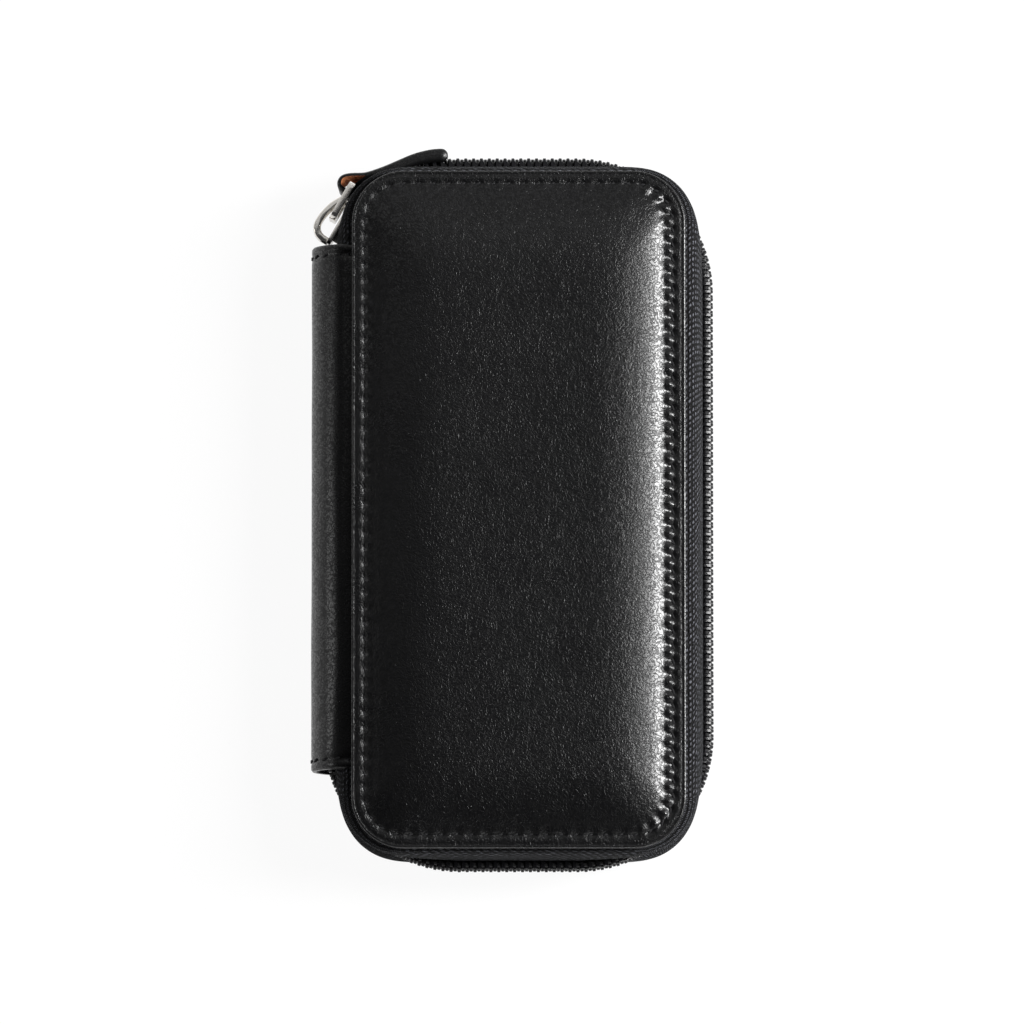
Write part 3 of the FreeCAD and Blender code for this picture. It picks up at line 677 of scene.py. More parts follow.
class Tree(Graph):
    """A Geometry Nodes tree that sets shapes along a path."""

    def __init__(self, name, inputs):
        super().__init__(bpy.data.node_groups.new(name, "GeometryNodeTree"))
        interface = self.tree.interface
        interface.new_socket("Geometry", in_out="OUTPUT", socket_type="NodeSocketGeometry")
        interface.new_socket("Geometry", in_out="INPUT", socket_type="NodeSocketGeometry")
        self.identifiers = {}
        kinds = {"Count": "NodeSocketInt", "Material": "NodeSocketMaterial"}
        for label in ("Count", *inputs, "Material"):
            kind = kinds.get(label, "NodeSocketFloat")
            socket = interface.new_socket(label, in_out="INPUT", socket_type=kind)
            self.identifiers[label] = socket.identifier
        self.source = self.tree.nodes.new("NodeGroupInput")

    def given(self, label):
        return Value(self, self.source.outputs[label])

    def vector(self, x, y, z):
        return self.node("ShaderNodeCombineXYZ", None, {0: x, 1: y, 2: z})

    def set_along(self, shape, slant):
        """Shapes set along the given path: X on its line, Z outwards; real mesh with its material."""
        line = self.node("GeometryNodeMeshToCurve", None, {0: self.given("Geometry")})
        spaced = self.node("GeometryNodeResampleCurve", {"mode": "COUNT"},
                           {"Curve": line, "Count": self.given("Count")})
        tangent = self.node("GeometryNodeInputTangent")
        facing = self.node("GeometryNodeInputNamedAttribute", {"data_type": "FLOAT_VECTOR"},
                           {"Name": "outward"})
        lined = self.node("FunctionNodeAlignRotationToVector", {"axis": "X"}, {"Vector": tangent})
        raised = self.node("FunctionNodeAlignRotationToVector", {"axis": "Z", "pivot_axis": "X"},
                           {"Rotation": lined, "Vector": facing})
        slanted = self.node("FunctionNodeEulerToRotation", None, {0: self.vector(0.0, 0.0, slant)})
        turned = self.node("FunctionNodeRotateRotation", {"rotation_space": "LOCAL"},
                           {0: raised, 1: slanted})
        placed = self.node("GeometryNodeInstanceOnPoints", None,
                           {"Points": spaced, "Instance": shape, "Rotation": turned})
        real = self.node("GeometryNodeRealizeInstances", None, {0: placed})
        smooth = self.node("GeometryNodeSetShadeSmooth", None, {0: real})
        painted = self.node("GeometryNodeSetMaterial", None, {0: smooth, "Material": self.given("Material")})
        self.node("NodeGroupOutput", None, {0: painted})


def stitch_tree():
    """Row of sewn stitches: slim lens-shaped threads, slanted across the seam."""
    tree = Tree("stitch_row", ("Length", "Width", "Height", "Slant"))
    lens = tree.node("GeometryNodeMeshUVSphere", None, {"Segments": 8, "Rings": 6, "Radius": 0.5})
    upended = tree.node("GeometryNodeTransform", None, {0: lens, "Rotation": (0.0, math.pi / 2, 0.0)})
    scale = tree.vector(tree.given("Length"), tree.given("Width"), tree.given("Height"))
    thread = tree.node("GeometryNodeTransform", None, {0: upended, "Scale": scale})
    tree.set_along(thread, tree.given("Slant"))
    return tree


def coil_tree():
    """Row of nylon turns: each is a filament bent out of the tape and back under it."""
    tree = Tree("coil_row", ("Reach", "Root", "Near", "Far", "Filament"))
    root, reach = tree.given("Root"), tree.given("Reach")
    near, far = tree.given("Near"), tree.given("Far")
    bend = tree.node("GeometryNodeCurvePrimitiveBezierSegment", {"mode": "POSITION"},
                     {"Resolution": 6, "Start": tree.vector(0.0, near, root),
                      "Start Handle": tree.vector(0.0, near, reach),
                      "End Handle": tree.vector(0.0, far, reach), "End": tree.vector(0.0, far, root)})
    section = tree.node("GeometryNodeCurvePrimitiveCircle", {"mode": "RADIUS"},
                        {"Resolution": 6, "Radius": tree.given("Filament")})
    turn = tree.node("GeometryNodeCurveToMesh", None,
                     {"Curve": bend, "Profile Curve": section, "Fill Caps": True})
    tree.set_along(turn, 0.0)
    return tree


def grow(tree, helper, name, values):
    """Run a tree on a path and keep the result as a plain mesh."""
    modifier = helper.modifiers.new("row", "NODES")
    modifier.node_group = tree.tree
    for label, value in values.items():
        modifier[tree.identifiers[label]] = value
    return settle(helper, name)


def sew(name, runs, count, body):
    """Row of stitches along each run; rides on a body unless that is left out."""
    sewing = settings().sewing
    values = {"Count": count, "Length": sewing.length, "Width": sewing.width,
              "Height": sewing.height, "Slant": sewing.slant, "Material": material("thread")}
    row = grow(stitch_tree(), path_object(name + "_path", runs), name, values)
    if body:
        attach(row, body)
    return row


def sew_round(name, ring, height, up, count, body):
    """Row of stitches round a closed outline at one height; up is 1 or -1."""
    run = [Vector((*spot, height)) for spot, _ in ring]
    sew(name, [(run, [Vector((0, 0, up))] * len(run), True)], count, body)


# Covers

COVER_COUNTS = (304, 120, 32)
CROWN_STEPS, RIM_STEPS, INNER_STEPS = 24, 8, 6
STEP_CROWDING = 1.75
EDGE_ANGLES = range(50, 201, 25)
EDGE_SHIFT = 0.92
EDGE_FOOT = ((0.04 * MM, 0.1 * MM), (0.15 * MM, 0.0))

# How the seam draws the leather in: shares where the thread is slack, depth of the valley
# between two beads, and where beside the zip's long side the beads grow to their full height
SLACK_PULL, SLACK_VALLEY, OPEN_VALLEY = 0.5, 0.2, 1.1
BEADS_FROM, BEADS_FULL = 12 * MM, 6 * MM
MOST_LIFT = 0.75 * MM
THREAD_SINK = 0.6

# Slow waves of the padding: for each metre across and along, and a place in the noise for each cover
WAVE_SCALE = Vector((38, 24, 3))
WAVE_FADE = 6 * MM


def cover_ring(inset, cover):
    """Cover outline drawn in by an inset; it shrinks to a line down the middle."""
    half = PANEL_HALF - Vector((inset, inset))
    radius = max(cover.corner_radius - inset, cover.inner_radius)
    return outline(half, max(0.0, min(radius, half.x)), COVER_COUNTS)


def crown(inset, cover):
    """Rise of the padded crown at an inset from the cover's edge."""
    share = ramp(inset, SEAM_INSET, SEAM_INSET + cover.crown_reach)
    return mix(RIM_RISE, CROWN_RISE, 1 - (1 - share) ** cover.crown_fullness)


def fullness(spot, cover):
    """Share of the beads at a place: whole beside the zip's long side, slack elsewhere."""
    return mix(cover.bead_share, 1.0, ramp(spot.x, PANEL_HALF.x - BEADS_FROM, PANEL_HALF.x - BEADS_FULL))


def gather(inset, phase, share, cover):
    """How the thread pulls the leather in: beads between the stitches, a valley inside them."""
    off = inset - SEAM_INSET
    swell = (1 - math.cos(phase - off / MM * cover.slant)) / 2
    along = bell(off - cover.bead_offset, cover.bead_width)
    bead = share * cover.bead_height * swell * along
    dent = max(bell(off, cover.bead_width), share * along)
    pulled = cover.stitch_depth * (1 - swell) * mix(SLACK_PULL, 1.0, share)
    valley = cover.valley_depth * bell(off - cover.valley_offset, cover.valley_width)
    valley *= OPEN_VALLEY - share * cover.bead_link * swell
    return bead - pulled * dent - mix(SLACK_VALLEY, 1.0, share) * valley


def crown_insets(steps):
    """Insets from the seam to the middle, close together at the seam."""
    return [mix(SEAM_INSET, PANEL_HALF.x, (step / steps) ** STEP_CROWDING) for step in range(steps + 1)]


def cover_profile(cover):
    """Inset, rise and how far the sewing shows, from the crown's middle over the edge to the inside."""
    edge = cover.edge_radius
    profile = [(inset, crown(inset, cover), 1.0) for inset in reversed(crown_insets(CROWN_STEPS)[1:])]
    for step in range(RIM_STEPS):
        inset = mix(SEAM_INSET, 2 * edge, step / RIM_STEPS)
        profile.append((inset, RIM_RISE + cover.rim_swell * math.sin(math.pi * step / RIM_STEPS), 1.0))
    for angle in EDGE_ANGLES:
        turn = math.radians(angle)
        profile.append((edge * (EDGE_SHIFT + math.cos(turn)), RIM_RISE - edge * (1.0 - math.sin(turn)), 0.0))
    base = EDGE_RISE + CLEARANCE
    profile.append((0.0, base + edge, 0.0))
    profile += [(inset, base + rise, 0.0) for inset, rise in EDGE_FOOT]
    profile += [(LEATHER_THICKNESS, base, 0.0), (LEATHER_THICKNESS, BOARD_RISE, 0.0)]
    profile += [(inset, crown(inset, cover) - LEATHER_THICKNESS, 0.0) for inset in crown_insets(INNER_STEPS)]
    return profile


def make_cover(side):
    cover = settings().cover
    seam = cover_ring(SEAM_INSET, cover)
    distance = walk([spot for spot, _ in seam])
    around = distance[-1] + (seam[0][0] - seam[-1][0]).length
    pitch = around / cover.stitch_count
    rows = []
    for inset, rise, sewn in cover_profile(cover):
        waves = sewn * cover.unevenness * ramp(inset, SEAM_INSET, SEAM_INSET + WAVE_FADE)
        row = []
        for (spot, _), travel in zip(cover_ring(inset, cover), distance):
            place = (spot.x * WAVE_SCALE.x, spot.y * WAVE_SCALE.y, SIDES[side] * WAVE_SCALE.z)
            lift = sewn * gather(inset, math.tau * travel / pitch, fullness(spot, cover), cover)
            lift -= waves * (0.5 + noise.noise(Vector(place)))
            row.append(Vector((*spot, level(side, rise + min(lift, MOST_LIFT)))))
        rows.append(row)
    piece = lattice(f"{side}_cover_leather", rows, "cover_leather", ring=True)
    dress(piece, f"{side}_cover", f"{side}_leather")
    height = level(side, RIM_RISE - cover.stitch_depth * THREAD_SINK)
    sew_round(f"{side}_cover_stitching", seam, height, SIDES[side], cover.stitch_count,
              f"{side}_cover")


# Zip

ZIP_COUNTS = (60, 30, 30)
COIL_COUNTS = tuple(4 * count for count in ZIP_COUNTS)
SPINE_CUT = 0.86
TAPE_STEPS = 12
SHOULDER = 1.4
FLANGE_INSET, FLANGE_RADIUS = 5 * MM, 7 * MM
TAPE_EDGE = 0.25 * MM
TAPE_EDGE_SHARE = 0.3
COIL_TUCK = 6 * MM
CORE_SIDES = 8


def zip_columns():
    """Which columns of an outline carry the zip: all but the middle of the spine's side."""
    long_steps, short_steps, corner_steps = ZIP_COUNTS
    left = long_steps + short_steps + 2 * corner_steps
    total = 2 * (long_steps + short_steps) + 4 * corner_steps
    tuck = round(long_steps * (1 - SPINE_CUT) / 2)
    first = left + long_steps - tuck
    return [column % total for column in range(first, left + tuck + total + 1)]


def tape_outline(turn, inset, tape):
    """Ring of the tape: turn 0 is the wall beside the coil, a quarter turn is the cover's edge."""
    wall = ZIP_HALF - Vector((tape.wall_inset, tape.wall_inset))
    half = PANEL_HALF.lerp(wall, math.cos(turn)) - Vector((inset, inset))
    corner = settings().cover.corner_radius
    radius = mix(corner, tape.corner_radius - tape.wall_inset, (1 - math.sin(turn)) ** SHOULDER) - inset
    return outline(half, radius, ZIP_COUNTS)


def make_tape(side):
    tape = settings().zip
    top = EDGE_RISE - CLEARANCE
    edge = tape.edge_rise + TAPE_EDGE
    turns = [math.pi / 2 * step / TAPE_STEPS for step in range(TAPE_STEPS + 1)]
    flange = outline(PANEL_HALF - Vector((FLANGE_INSET, FLANGE_INSET)), FLANGE_RADIUS, ZIP_COUNTS)

    def shoulder(inset):
        """Rings from the wall beside the coil up to the cover's edge."""
        return [(tape_outline(turn, inset, tape), mix(tape.wall_rise, top - inset, math.sin(turn)))
                for turn in turns]

    rings = [(tape_outline(0.0, tape.thickness * TAPE_EDGE_SHARE, tape), tape.edge_rise)]
    rings += [(tape_outline(0.0, 0.0, tape), edge)] + shoulder(0.0)
    rings += [(flange, top), (flange, top - tape.thickness)] + shoulder(tape.thickness)[::-1]
    rings += [(tape_outline(0.0, tape.thickness, tape), edge)]
    columns = zip_columns()
    rows = [[Vector((*ring[column][0], level(side, rise))) for column in columns] for ring, rise in rings]
    piece = lattice(f"{side}_zip_tape_cloth", rows, "zip_tape", tube=True, flow=walk(rows[1]))
    dress(piece, f"{side}_cover", f"{side}_zip_tape")


def coil_run(side, rise):
    """Line of the coil from the spine's near end round to the slider, and its outward directions."""
    ring = outline(ZIP_HALF, settings().zip.corner_radius, COIL_COUNTS)
    line = [(spot, facing) for spot, facing in ring
            if spot.x > 0 or abs(spot.y) > SPINE_END - COIL_TUCK]
    start = next(k for k, (spot, _) in enumerate(line) if spot.x < 0 and spot.y < 0)
    low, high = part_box("slider_body")
    slider = (low + high) / 2
    run, up = [], []
    for spot, facing in line[start:] + line[:start]:
        if spot.x >= slider.x or spot.y <= 0:
            run.append(Vector((*spot, level(side, rise))))
            up.append(Vector((*facing, 0.0)))
    return run, up


def shifted(run, step):
    """The same line moved along itself, so that the turns of the two coils interlock."""
    moved = []
    for number, point in enumerate(run):
        ahead = run[min(number + 1, len(run) - 1)] - run[max(number - 1, 0)]
        moved.append(point + ahead.normalized() * step)
    return moved


def make_core(side):
    """Cord inside the coil, sewn to the tape's edge."""
    tape = settings().zip
    run, up = coil_run(side, tape.core_rise)
    rows = []
    for step in range(CORE_SIDES):
        angle = math.tau * step / CORE_SIDES
        out = tape.core * math.cos(angle) - tape.core_setback
        rise = Vector((0, 0, tape.core * math.sin(angle)))
        rows.append([point + facing * out + rise for point, facing in zip(run, up)])
    piece = lattice(f"{side}_zip_core_cord", rows, "thread", tube=True)
    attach(piece, f"{side}_cover")


def make_coil(side):
    tape = settings().zip
    run, up = coil_run(side, 0.0)
    count = int(walk(run)[-1] / tape.coil_pitch)
    if side == "back":
        run = shifted(run, tape.coil_pitch / 2)
    values = {"Count": count, "Reach": tape.coil_reach, "Root": -tape.coil_root,
              "Near": SIDES[side] * tape.coil_near, "Far": SIDES[side] * tape.coil_far,
              "Filament": tape.filament, "Material": material("zip_coil")}
    piece = grow(coil_tree(), path_object(f"{side}_coil_path", [(run, up, False)]),
                 f"{side}_zip_coil_turns", values)
    dress(piece, f"{side}_cover", f"{side}_zip_coil")


# Spine

SPINE_STEPS, SPINE_CROWDING = 46, 1.6
SPINE_ARC = [math.pi - math.pi / 2 * step / 16 for step in range(17)]
FLANGE_START, FLANGE_THICKNESS = SPINE_CENTRE + 1.5 * MM, 0.6 * MM
GROOVE_WIDTH = 0.5 * MM
END_DROP, END_REACH = 0.35 * MM, 0.25 * MM
RIPPLE, RIPPLE_ALONG, RIPPLE_ROUND, RIPPLE_SEED = 0.12 * MM, 45, 2.2, 7.0
HEM_SINK, HEM_STITCHES = 0.4, 5
HEM_ANGLES = [math.radians(176 - 84 * step / 40) for step in range(41)]


def spine_stations():
    """Places along the spine, close together at its hems."""
    shares = [(step / SPINE_STEPS) ** SPINE_CROWDING for step in range(SPINE_STEPS + 1)]
    upper = [SPINE_END - SPINE_END * share for share in shares]
    return [-y for y in upper] + list(reversed(upper[:-1]))


def drawn(y):
    """Place along the spine with its near end drawn in."""
    return y * (1 - settings().spine.drawn_in / SPINE_END) if y < 0 else y


def spine_rows(sign, outer, inner, leather):
    """Closed section of one half of the spine, swept along the case.

    A point of the section is an angle and a radius, or on the leather's flange, which lies
    flat under the cover, a rise and a place across.
    """
    spine = settings().spine
    section = [(angle, outer, None) for angle in SPINE_ARC]
    if leather:
        under = outer - FLANGE_THICKNESS
        section += [(None, outer, FLANGE_START), (None, outer, SPINE_HIGH.x),
                    (None, under, SPINE_HIGH.x), (None, under, FLANGE_START)]
    section += [(angle, inner, None) for angle in reversed(SPINE_ARC)]
    rows = []
    for number, (angle, radius, flat) in enumerate(section):
        row = []
        for y in spine_stations():
            r = radius
            if leather and number < len(SPINE_ARC):
                from_end = SPINE_END - abs(y)
                r -= spine.groove_depth * bell(from_end - spine.hem, GROOVE_WIDTH)
                r -= END_DROP * bell(from_end, END_REACH)
                r -= RIPPLE * noise.noise(Vector((y * RIPPLE_ALONG, angle * RIPPLE_ROUND, RIPPLE_SEED)))
            across = flat if angle is None else SPINE_CENTRE + r * math.cos(angle)
            rise = r if angle is None else r * math.sin(angle)
            row.append(Vector((across, drawn(y), ZIP_LEVEL + sign * rise)))
        rows.append(row)
    return rows


def bend_with_fold(piece, high):
    """Bake the placement of one half of the spine into its mesh."""
    if high:
        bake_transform(piece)
    else:
        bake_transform(piece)


def make_spine_half(high):
    spine = settings().spine
    half, sign = ("upper", 1) if high else ("lower", -1)
    inner = SPINE_RADIUS - spine.wall
    leather = lattice(f"spine_leather_{half}", spine_rows(sign, SPINE_RADIUS, inner, True),
                      "spine_leather", tube=True)
    bend_with_fold(leather, high)
    lining = lattice(f"spine_lining_{half}", spine_rows(sign, inner, inner - spine.lining, False),
                     "lining_cloth", tube=True, flow=[y + SPINE_END for y in spine_stations()])
    bend_with_fold(lining, high)
    radius = SPINE_RADIUS - spine.groove_depth * HEM_SINK
    outwards = [Vector((math.cos(angle), 0, sign * math.sin(angle))) for angle in HEM_ANGLES]
    runs = []
    for end in (1, -1):
        centre = Vector((SPINE_CENTRE, drawn(end * (SPINE_END - spine.hem)), ZIP_LEVEL))
        runs.append(([centre + radius * outward for outward in outwards], outwards, False))
    row = sew(f"spine_stitching_{half}", runs, HEM_STITCHES, None)
    bend_with_fold(row, high)
    if high:
        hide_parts("spine_leather")
        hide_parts("spine_lining")


# Slider and pull

# Edges of the metal pieces and how far they are swollen, in millimetres
PLATE_BEVEL, CAST_BEVEL, CAST_SWELL = 0.18, 0.45, 0.36

PULL_STEPS, TIP_STEPS, FOLD_STEPS, EDGE_STEPS = 40, 12, 20, 8
PULL_ASIDE = 0.3 * MM
SWELL_FROM, SWELL_FULL = 6 * MM, 20 * MM
FOLD_REACH = 5.5 * MM
LAYERS_APART = 1.2

# Point of the pull's line in plan: place, outward direction, half the leather's thickness,
# whether the two layers stand apart there, and the sideways shift for each metre of height
PullPoint = namedtuple("PullPoint", "spot facing half apart lean")


def make_metal(node, body, name, bevel, swell):
    piece = refined_copy(node, name, "nickel", bevel, swell)
    dress(piece, body, node)


def pull_line():
    """Closed line of the folded pull in plan: out along one layer, round the tip, back, round the fold."""
    pull = settings().pull
    bar = JOINT_AT["tab_swing"].to_2d()
    ahead = Vector((math.cos(pull.angle), math.sin(pull.angle)))
    aside = Vector((-ahead.y, ahead.x))

    def middle(s):
        """Middle of the two layers and its normal."""
        bent = max(0.0, s - pull.straight) / pull.bend_radius
        straight = min(s, pull.straight)
        spot = bar + ahead * (straight + pull.bend_radius * math.sin(bent))
        spot -= aside * pull.bend_radius * (1 - math.cos(bent))
        return spot + aside * PULL_ASIDE, aside * math.cos(bent) + ahead * math.sin(bent)

    def half_layer(s):
        """Half the thickness of one layer, which swells towards the end."""
        return mix(pull.layer, pull.end_layer, ramp(s, SWELL_FROM, SWELL_FULL)) / 2

    def spread(s):
        """Half the distance between the middles of the layers: they touch past the fold."""
        fold = 1 - ramp(s, -pull.fold_back, FOLD_REACH - pull.fold_back)
        return mix(half_layer(s) + CLEARANCE, pull.loop_radius, eased(fold))

    def lean(s):
        return aside * (math.tan(pull.lean) * eased(1 - ramp(s, 0.0, pull.lean_length)))

    def half_round(spot, forward, up, angles, radius, s, apart):
        """Points on an arc about a spot."""
        facings = [forward * math.cos(angle) + up * math.sin(angle) for angle in angles]
        return [PullPoint(spot + facing * radius, facing, half_layer(s), apart, lean(s))
                for facing in facings]

    whole = pull.straight + pull.bend_length
    upper, lower = [], []
    for step in range(1, PULL_STEPS + 1):
        s = mix(-pull.fold_back, whole, step / PULL_STEPS)
        spot, normal = middle(s)
        apart = spread(s) > half_layer(s) * LAYERS_APART
        for layer, facing in ((upper, normal), (lower, -normal)):
            layer.append(PullPoint(spot + facing * spread(s), facing, half_layer(s), apart, lean(s)))
    tip_spot, tip_normal = middle(whole)
    tip_ahead = Vector((tip_normal.y, -tip_normal.x))
    tip_angles = [math.pi / 2 - math.pi * step / TIP_STEPS for step in range(1, TIP_STEPS)]
    tip = half_round(tip_spot, tip_ahead, tip_normal, tip_angles, spread(whole), whole, False)
    fold_angles = [math.pi / 2 + math.pi * step / FOLD_STEPS for step in range(FOLD_STEPS, -1, -1)]
    fold = half_round(middle(-pull.fold_back)[0], ahead, aside, fold_angles, pull.loop_radius, 0.0, True)
    return upper + tip + lower[::-1] + fold


def make_pull():
    pull = settings().pull
    low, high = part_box("pull_tab")
    middle = (low.z + high.z) / 2
    half_width = (high.z - low.z) / 2
    bends = [math.pi / 2 * step / EDGE_STEPS for step in range(EDGE_STEPS + 1)]
    rounded = [(2 * math.sin(bend) - 1, pull.edge_round * (1 - math.cos(bend))) for bend in bends]
    section = [(across, drop - half_width) for across, drop in rounded]
    section += [(across, half_width - drop) for across, drop in reversed(rounded)]
    line = pull_line()
    rows = []
    for across, height in section:
        row = [point.spot + point.facing * across * point.half + point.lean * height for point in line]
        rows.append([Vector((*spot, middle + height)) for spot in row])
    piece = lattice("pull_tab_leather", rows, "pull_leather", ring=True, tube=True)

    # The inside of the fold shows the leather's flesh side
    piece.data.materials.append(material("flesh"))
    flesh_rows = {0, len(section) - 1}
    open_columns = {column for column, point in enumerate(line) if point.apart}
    for face in piece.data.polygons:
        spots = [divmod(vertex, len(line)) for vertex in face.vertices]
        if all(row in flesh_rows and column in open_columns for row, column in spots):
            face.material_index = 1
    dress(piece, "pull_tab", "pull_tab")


# Inside

SHEET_COUNTS = (24, 12, 10)
SHEET_STEPS, SHEET_CROWDING = 6, 1.5
SHEET_EDGE, SHEET_EDGE_SHARE = 0.35 * MM, 0.45
SHEET_TURNS = [math.radians(angle) for angle in range(0, 91, 30)]
LINING_CORNER, INSERT_CORNER, INSERT_SEAM = 11 * MM, 6 * MM, 2 * MM
LOOP_WALL, LOOP_FOOT, LOOP_SEAM_END = 1.0 * MM, 2.2 * MM, 2 * MM
LOOP_ARC = [math.pi * step / 24 for step in range(25)]
LOOP_STEPS, LOOP_STITCHES = 12, 7
PANEL_STITCHES, POCKET_STITCHES = 118, 92


def sheet_rows(half, radius, low, high, edge):
    """Flat sheet with rounded edges: rows from the middle of its face to the middle of its back."""
    profile = [(mix(edge, half.x, (step / SHEET_STEPS) ** SHEET_CROWDING), high)
               for step in range(SHEET_STEPS, 0, -1)]
    rounded = [(edge * (1 - math.sin(turn)), high - edge * (1 - math.cos(turn))) for turn in SHEET_TURNS]
    profile += rounded + [(inset, low + (high - rise)) for inset, rise in reversed(rounded)]
    profile.append((half.x, low))
    rows = []
    for inset, rise in profile:
        inner = half - Vector((inset, inset))
        ring = outline(inner, max(0.0, min(radius - inset, inner.x)), SHEET_COUNTS)
        rows.append([Vector((*spot, rise)) for spot, _ in ring])
    return rows


def map_flat(mesh):
    """Map in metres, seen from above."""
    bm = bmesh.new()
    bm.from_mesh(mesh)
    uv = bm.loops.layers.uv.new("UVMap")
    for face in bm.faces:
        for loop in face.loops:
            loop[uv].uv = loop.vert.co.xy
    bm.to_mesh(mesh)
    bm.free()


def make_sheet(node, name, body, finish, radius):
    """Rounded sheet in a node's place."""
    low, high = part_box(node)
    edge = min(SHEET_EDGE, (high.z - low.z) * SHEET_EDGE_SHARE)
    piece = lattice(name, sheet_rows(high.xy, radius, low.z, high.z, edge), finish, ring=True)
    map_flat(piece.data)
    dress(piece, body, node)


def make_insert(node, side, stitches):
    """Leather sheet inside a cover, with a stitched edge on the face that shows."""
    make_sheet(node, f"{node}_leather", f"{side}_cover", "insert_leather", INSERT_CORNER)
    low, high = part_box(node)
    ring = outline(high.xy - Vector((INSERT_SEAM, INSERT_SEAM)), INSERT_CORNER - INSERT_SEAM, SHEET_COUNTS)
    sew_round(f"{node}_leather_stitching", ring, high.z if side == "back" else low.z, -SIDES[side], stitches,
              f"{side}_cover")


def make_pen_loop(number):
    """Strap over a pen: an arch with two sewn feet."""
    node = f"pen_loop_{number}"
    low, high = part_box(node)
    centre = (low.x + high.x) / 2
    outer = (high.x - low.x) / 2 - LOOP_FOOT
    bore = outer - LOOP_WALL
    spring = high.z - outer
    top = low.z + LOOP_WALL
    section = [(high.x, low.z), (high.x, top), (centre + outer, top)]
    section += [(centre + outer * math.cos(a), spring + outer * math.sin(a)) for a in LOOP_ARC]
    section += [(centre - outer, top), (low.x, top), (low.x, low.z), (centre - bore, low.z)]
    section += [(centre + bore * math.cos(a), spring + bore * math.sin(a)) for a in reversed(LOOP_ARC)]
    section += [(centre + bore, low.z)]
    stations = [low.y + (high.y - low.y) * step / LOOP_STEPS for step in range(LOOP_STEPS + 1)]
    rows = [[Vector((x, y, z)) for y in stations] for x, z in section]
    piece = lattice(f"{node}_strap", rows, "insert_leather", tube=True)
    dress(piece, "back_cover", node)
    runs = []
    for side in (-1, 1):
        x = centre + side * (outer + LOOP_FOOT / 2)
        points = [Vector((x, y, top)) for y in (low.y + LOOP_SEAM_END, high.y - LOOP_SEAM_END)]
        runs.append((points, [Vector((0, 0, 1))] * 2, False))
    sew(f"{node}_stitching", runs, LOOP_STITCHES, "back_cover")


# Stage

SWEEP_STEPS = 64
SWEEP_PROFILE = ((0.0, 0.0), (4.0, 0.0), (4.7, 0.2), (5.0, 0.8), (5.0, 3.0))
SWEEP_COLOUR, GLOW_COLOUR = (0.86, 0.86, 0.86, 1.0), (1.0, 1.0, 1.0, 1.0)
SEEN_GLOW, MIRRORED_GLOW = 0.94, 0.7
WORLD_COLOUR = (0.04, 0.04, 0.042, 1.0)
SENSOR_WIDTH, CLIP_END = 36.0, 20.0


def make_sweep():
    """White floor that runs up into a wall; it glows for the camera and in mirrors."""
    finish = Finish("white_sweep")
    seen, glossy, through = (finish.node("ShaderNodeLightPath", output=f"Is {kind} Ray")
                             for kind in ("Camera", "Glossy", "Transmission"))
    shade = finish.node("ShaderNodeBsdfDiffuse", None, {"Color": SWEEP_COLOUR})
    glow = finish.node("ShaderNodeEmission", None, {"Color": GLOW_COLOUR, "Strength": 1.0})
    share = seen * SEEN_GLOW + (glossy + through) * MIRRORED_GLOW
    mixed = finish.node("ShaderNodeMixShader", None, {0: share, 1: shade, 2: glow})
    finish.node("ShaderNodeOutputMaterial", None, {"Surface": mixed})
    turns = [math.tau * step / SWEEP_STEPS for step in range(SWEEP_STEPS)]
    rows = [[Vector((radius * math.cos(turn), radius * math.sin(turn), height)) for turn in turns]
            for radius, height in SWEEP_PROFILE]
    sweep = lattice("studio_sweep", rows, None, ring=True)
    sweep.data.materials.append(finish.material)


def lamp(name, place, aim, size, power):
    """Rectangular softbox aimed at a point."""
    light = bpy.data.lights.new(name, "AREA")
    light.shape = "RECTANGLE"
    light.size, light.size_y = size
    light.energy = power
    holder = bpy.data.objects.new(name, light)
    holder.location = place
    holder.rotation_euler = (Vector(aim) - Vector(place)).to_track_quat("-Z", "Y").to_euler()
    bpy.context.scene.collection.objects.link(holder)


def make_camera():
    stage = settings().stage
    camera = bpy.data.cameras.new("camera")
    camera.sensor_width = SENSOR_WIDTH
    camera.lens = camera.sensor_width * stage.distance / stage.picture_width
    camera.clip_end = CLIP_END
    eye = bpy.data.objects.new("camera", camera)
    back = Vector((0.0, -math.cos(stage.elevation), math.sin(stage.elevation)))
    eye.location = Vector(stage.aim) + back * stage.distance
    eye.rotation_euler = (-back).to_track_quat("-Z", "Y").to_euler()
    bpy.context.scene.collection.objects.link(eye)
    bpy.context.scene.camera = eye


def make_stage():
    stage = settings().stage
    make_sweep()
    world = bpy.data.worlds.new("studio")
    world.use_nodes = True
    world.node_tree.nodes["Background"].inputs["Color"].default_value = WORLD_COLOUR
    bpy.context.scene.world = world
    lamp("key_softbox", place=(0.92, 0.16, 0.66), aim=(0.03, 0.0, 0.03), size=(0.35, 0.9),
         power=stage.key_power)
    lamp("top_softbox", place=(-0.09, 0.45, 0.62), aim=(0.0, 0.04, 0.03), size=(0.96, 0.6),
         power=stage.top_power)
    lamp("side_strip", place=(-0.85, 0.05, 0.38), aim=(-0.04, 0.0, 0.03), size=(0.1, 0.4),
         power=stage.side_power)
    lamp("near_strip", place=(0.25, -1.0, 0.25), aim=(0.0, -0.05, 0.02), size=(0.5, 0.1),
         power=stage.near_power)
    make_camera()
    bpy.context.scene.view_settings.view_transform = "Standard"


# Operators

class PENCASE_OT_covers(bpy.types.Operator):
    """Padded leather covers with their top stitching"""

    bl_idname = "pencase.covers"
    bl_label = "Covers"

    def execute(self, context):
        for side in SIDES:
            make_cover(side)
        return {"FINISHED"}


class PENCASE_OT_zip(bpy.types.Operator):
    """Woven tapes and nylon coils of the zip"""

    bl_idname = "pencase.zip"
    bl_label = "Zip tapes and coils"

    def execute(self, context):
        for side in SIDES:
            make_tape(side)
            make_core(side)
            make_coil(side)
        return {"FINISHED"}


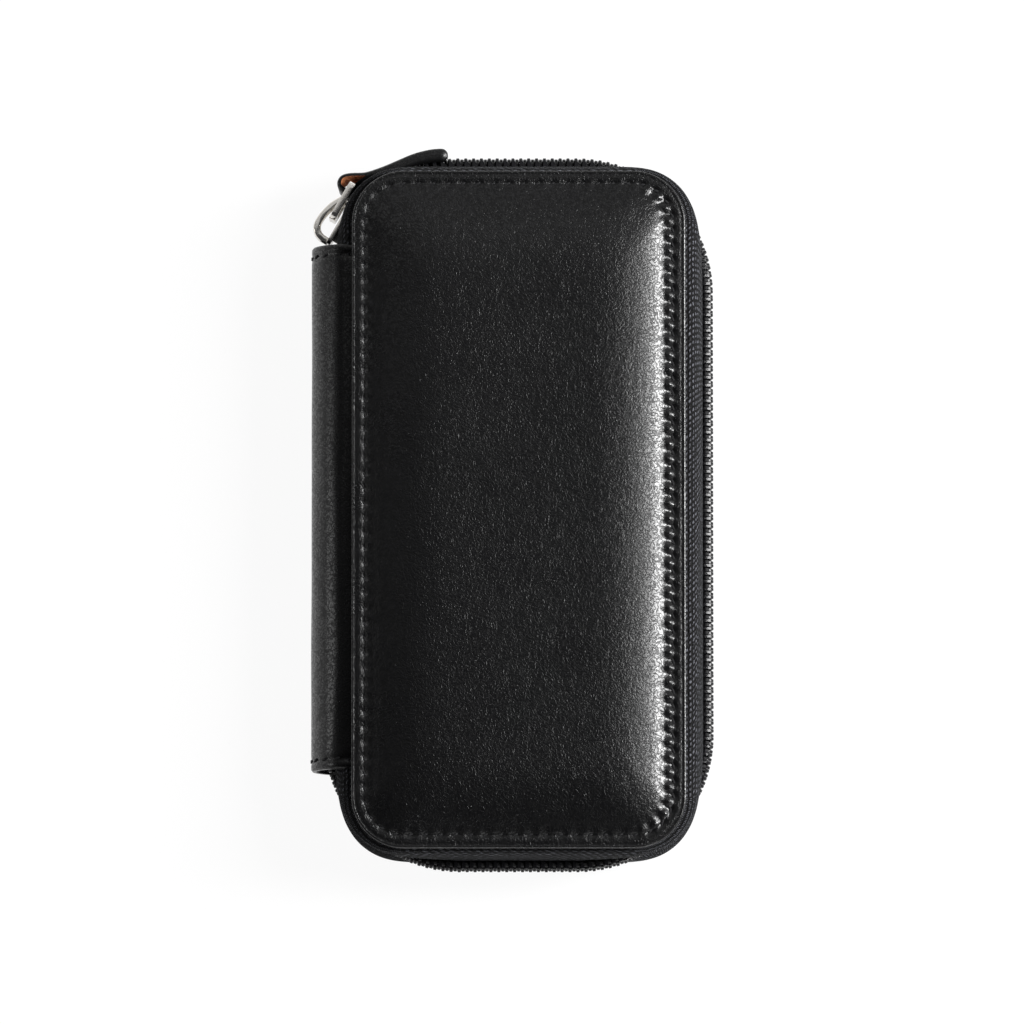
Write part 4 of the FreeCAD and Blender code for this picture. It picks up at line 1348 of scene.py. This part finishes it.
class PENCASE_OT_spine(bpy.types.Operator):
    """Leather spine and its lining, in two halves"""

    bl_idname = "pencase.spine"
    bl_label = "Spine"

    def execute(self, context):
        for high in (False, True):
            make_spine_half(high)
        return {"FINISHED"}


class PENCASE_OT_slider(bpy.types.Operator):
    """Nickel slider, bridge and link"""

    bl_idname = "pencase.slider"
    bl_label = "Slider and link"

    def execute(self, context):
        make_metal("slider_body", "slider", "slider_plates", PLATE_BEVEL, 0.0)
        make_metal("slider_bridge", "slider", "slider_arch", CAST_BEVEL, CAST_SWELL)
        make_metal("pull_link", "pull_link", "link_bar", CAST_BEVEL, CAST_SWELL)
        return {"FINISHED"}


class PENCASE_OT_pull(bpy.types.Operator):
    """Folded leather pull"""

    bl_idname = "pencase.pull"
    bl_label = "Leather pull"

    def execute(self, context):
        make_pull()
        return {"FINISHED"}


class PENCASE_OT_inside(bpy.types.Operator):
    """Linings, pen panel, pen loops and slip pocket"""

    bl_idname = "pencase.inside"
    bl_label = "Inside"

    def execute(self, context):
        for side in SIDES:
            make_sheet(f"{side}_lining", f"{side}_lining_cloth", f"{side}_cover", "lining_cloth",
                       LINING_CORNER)
        make_insert("pen_panel", "back", PANEL_STITCHES)
        make_insert("slip_pocket", "front", POCKET_STITCHES)
        for number in (1, 2, 3):
            make_pen_loop(number)
        return {"FINISHED"}


class PENCASE_OT_hidden(bpy.types.Operator):
    """Boards and padding inside the covers keep their frame shapes"""

    bl_idname = "pencase.hidden"
    bl_label = "Boards and padding"

    def execute(self, context):
        for side in SIDES:
            for layer in ("board", "foam"):
                node = frame["nodes"][f"{side}_{layer}"]
                node.data.materials.clear()
                node.data.materials.append(material(layer))
        return {"FINISHED"}


class PENCASE_OT_stage(bpy.types.Operator):
    """White sweep, soft lamps and camera"""

    bl_idname = "pencase.stage"
    bl_label = "Stage"

    def execute(self, context):
        make_stage()
        return {"FINISHED"}


OPERATORS = (PENCASE_OT_covers, PENCASE_OT_zip, PENCASE_OT_spine, PENCASE_OT_slider, PENCASE_OT_pull,
             PENCASE_OT_inside, PENCASE_OT_hidden, PENCASE_OT_stage)


class PENCASE_PT_build(bpy.types.Panel):
    """Steps that dress the pen case"""

    bl_idname = "PENCASE_PT_build"
    bl_label = "Pen case"
    bl_space_type = "VIEW_3D"
    bl_region_type = "UI"
    bl_category = "Pen Case"

    def draw(self, context):
        for operator in OPERATORS:
            self.layout.operator(operator.bl_idname)


CLASSES = (CoverSettings, SewingSettings, ZipSettings, SpineSettings, PullSettings, FinishSettings,
           StageSettings, PenCaseSettings, *OPERATORS, PENCASE_PT_build)


def register():
    for cls in CLASSES:
        bpy.utils.register_class(cls)
    bpy.types.Scene.pen_case = PointerProperty(type=PenCaseSettings)


def unregister():
    del bpy.types.Scene.pen_case
    for cls in reversed(CLASSES):
        bpy.utils.unregister_class(cls)


def main():
    register()
    bpy.ops.pencase.stage()
    bpy.ops.pencase.covers()
    bpy.ops.pencase.zip()
    bpy.ops.pencase.spine()
    bpy.ops.pencase.slider()
    bpy.ops.pencase.pull()
    bpy.ops.pencase.inside()
    bpy.ops.pencase.hidden()


if __name__ == "__main__":
    main()
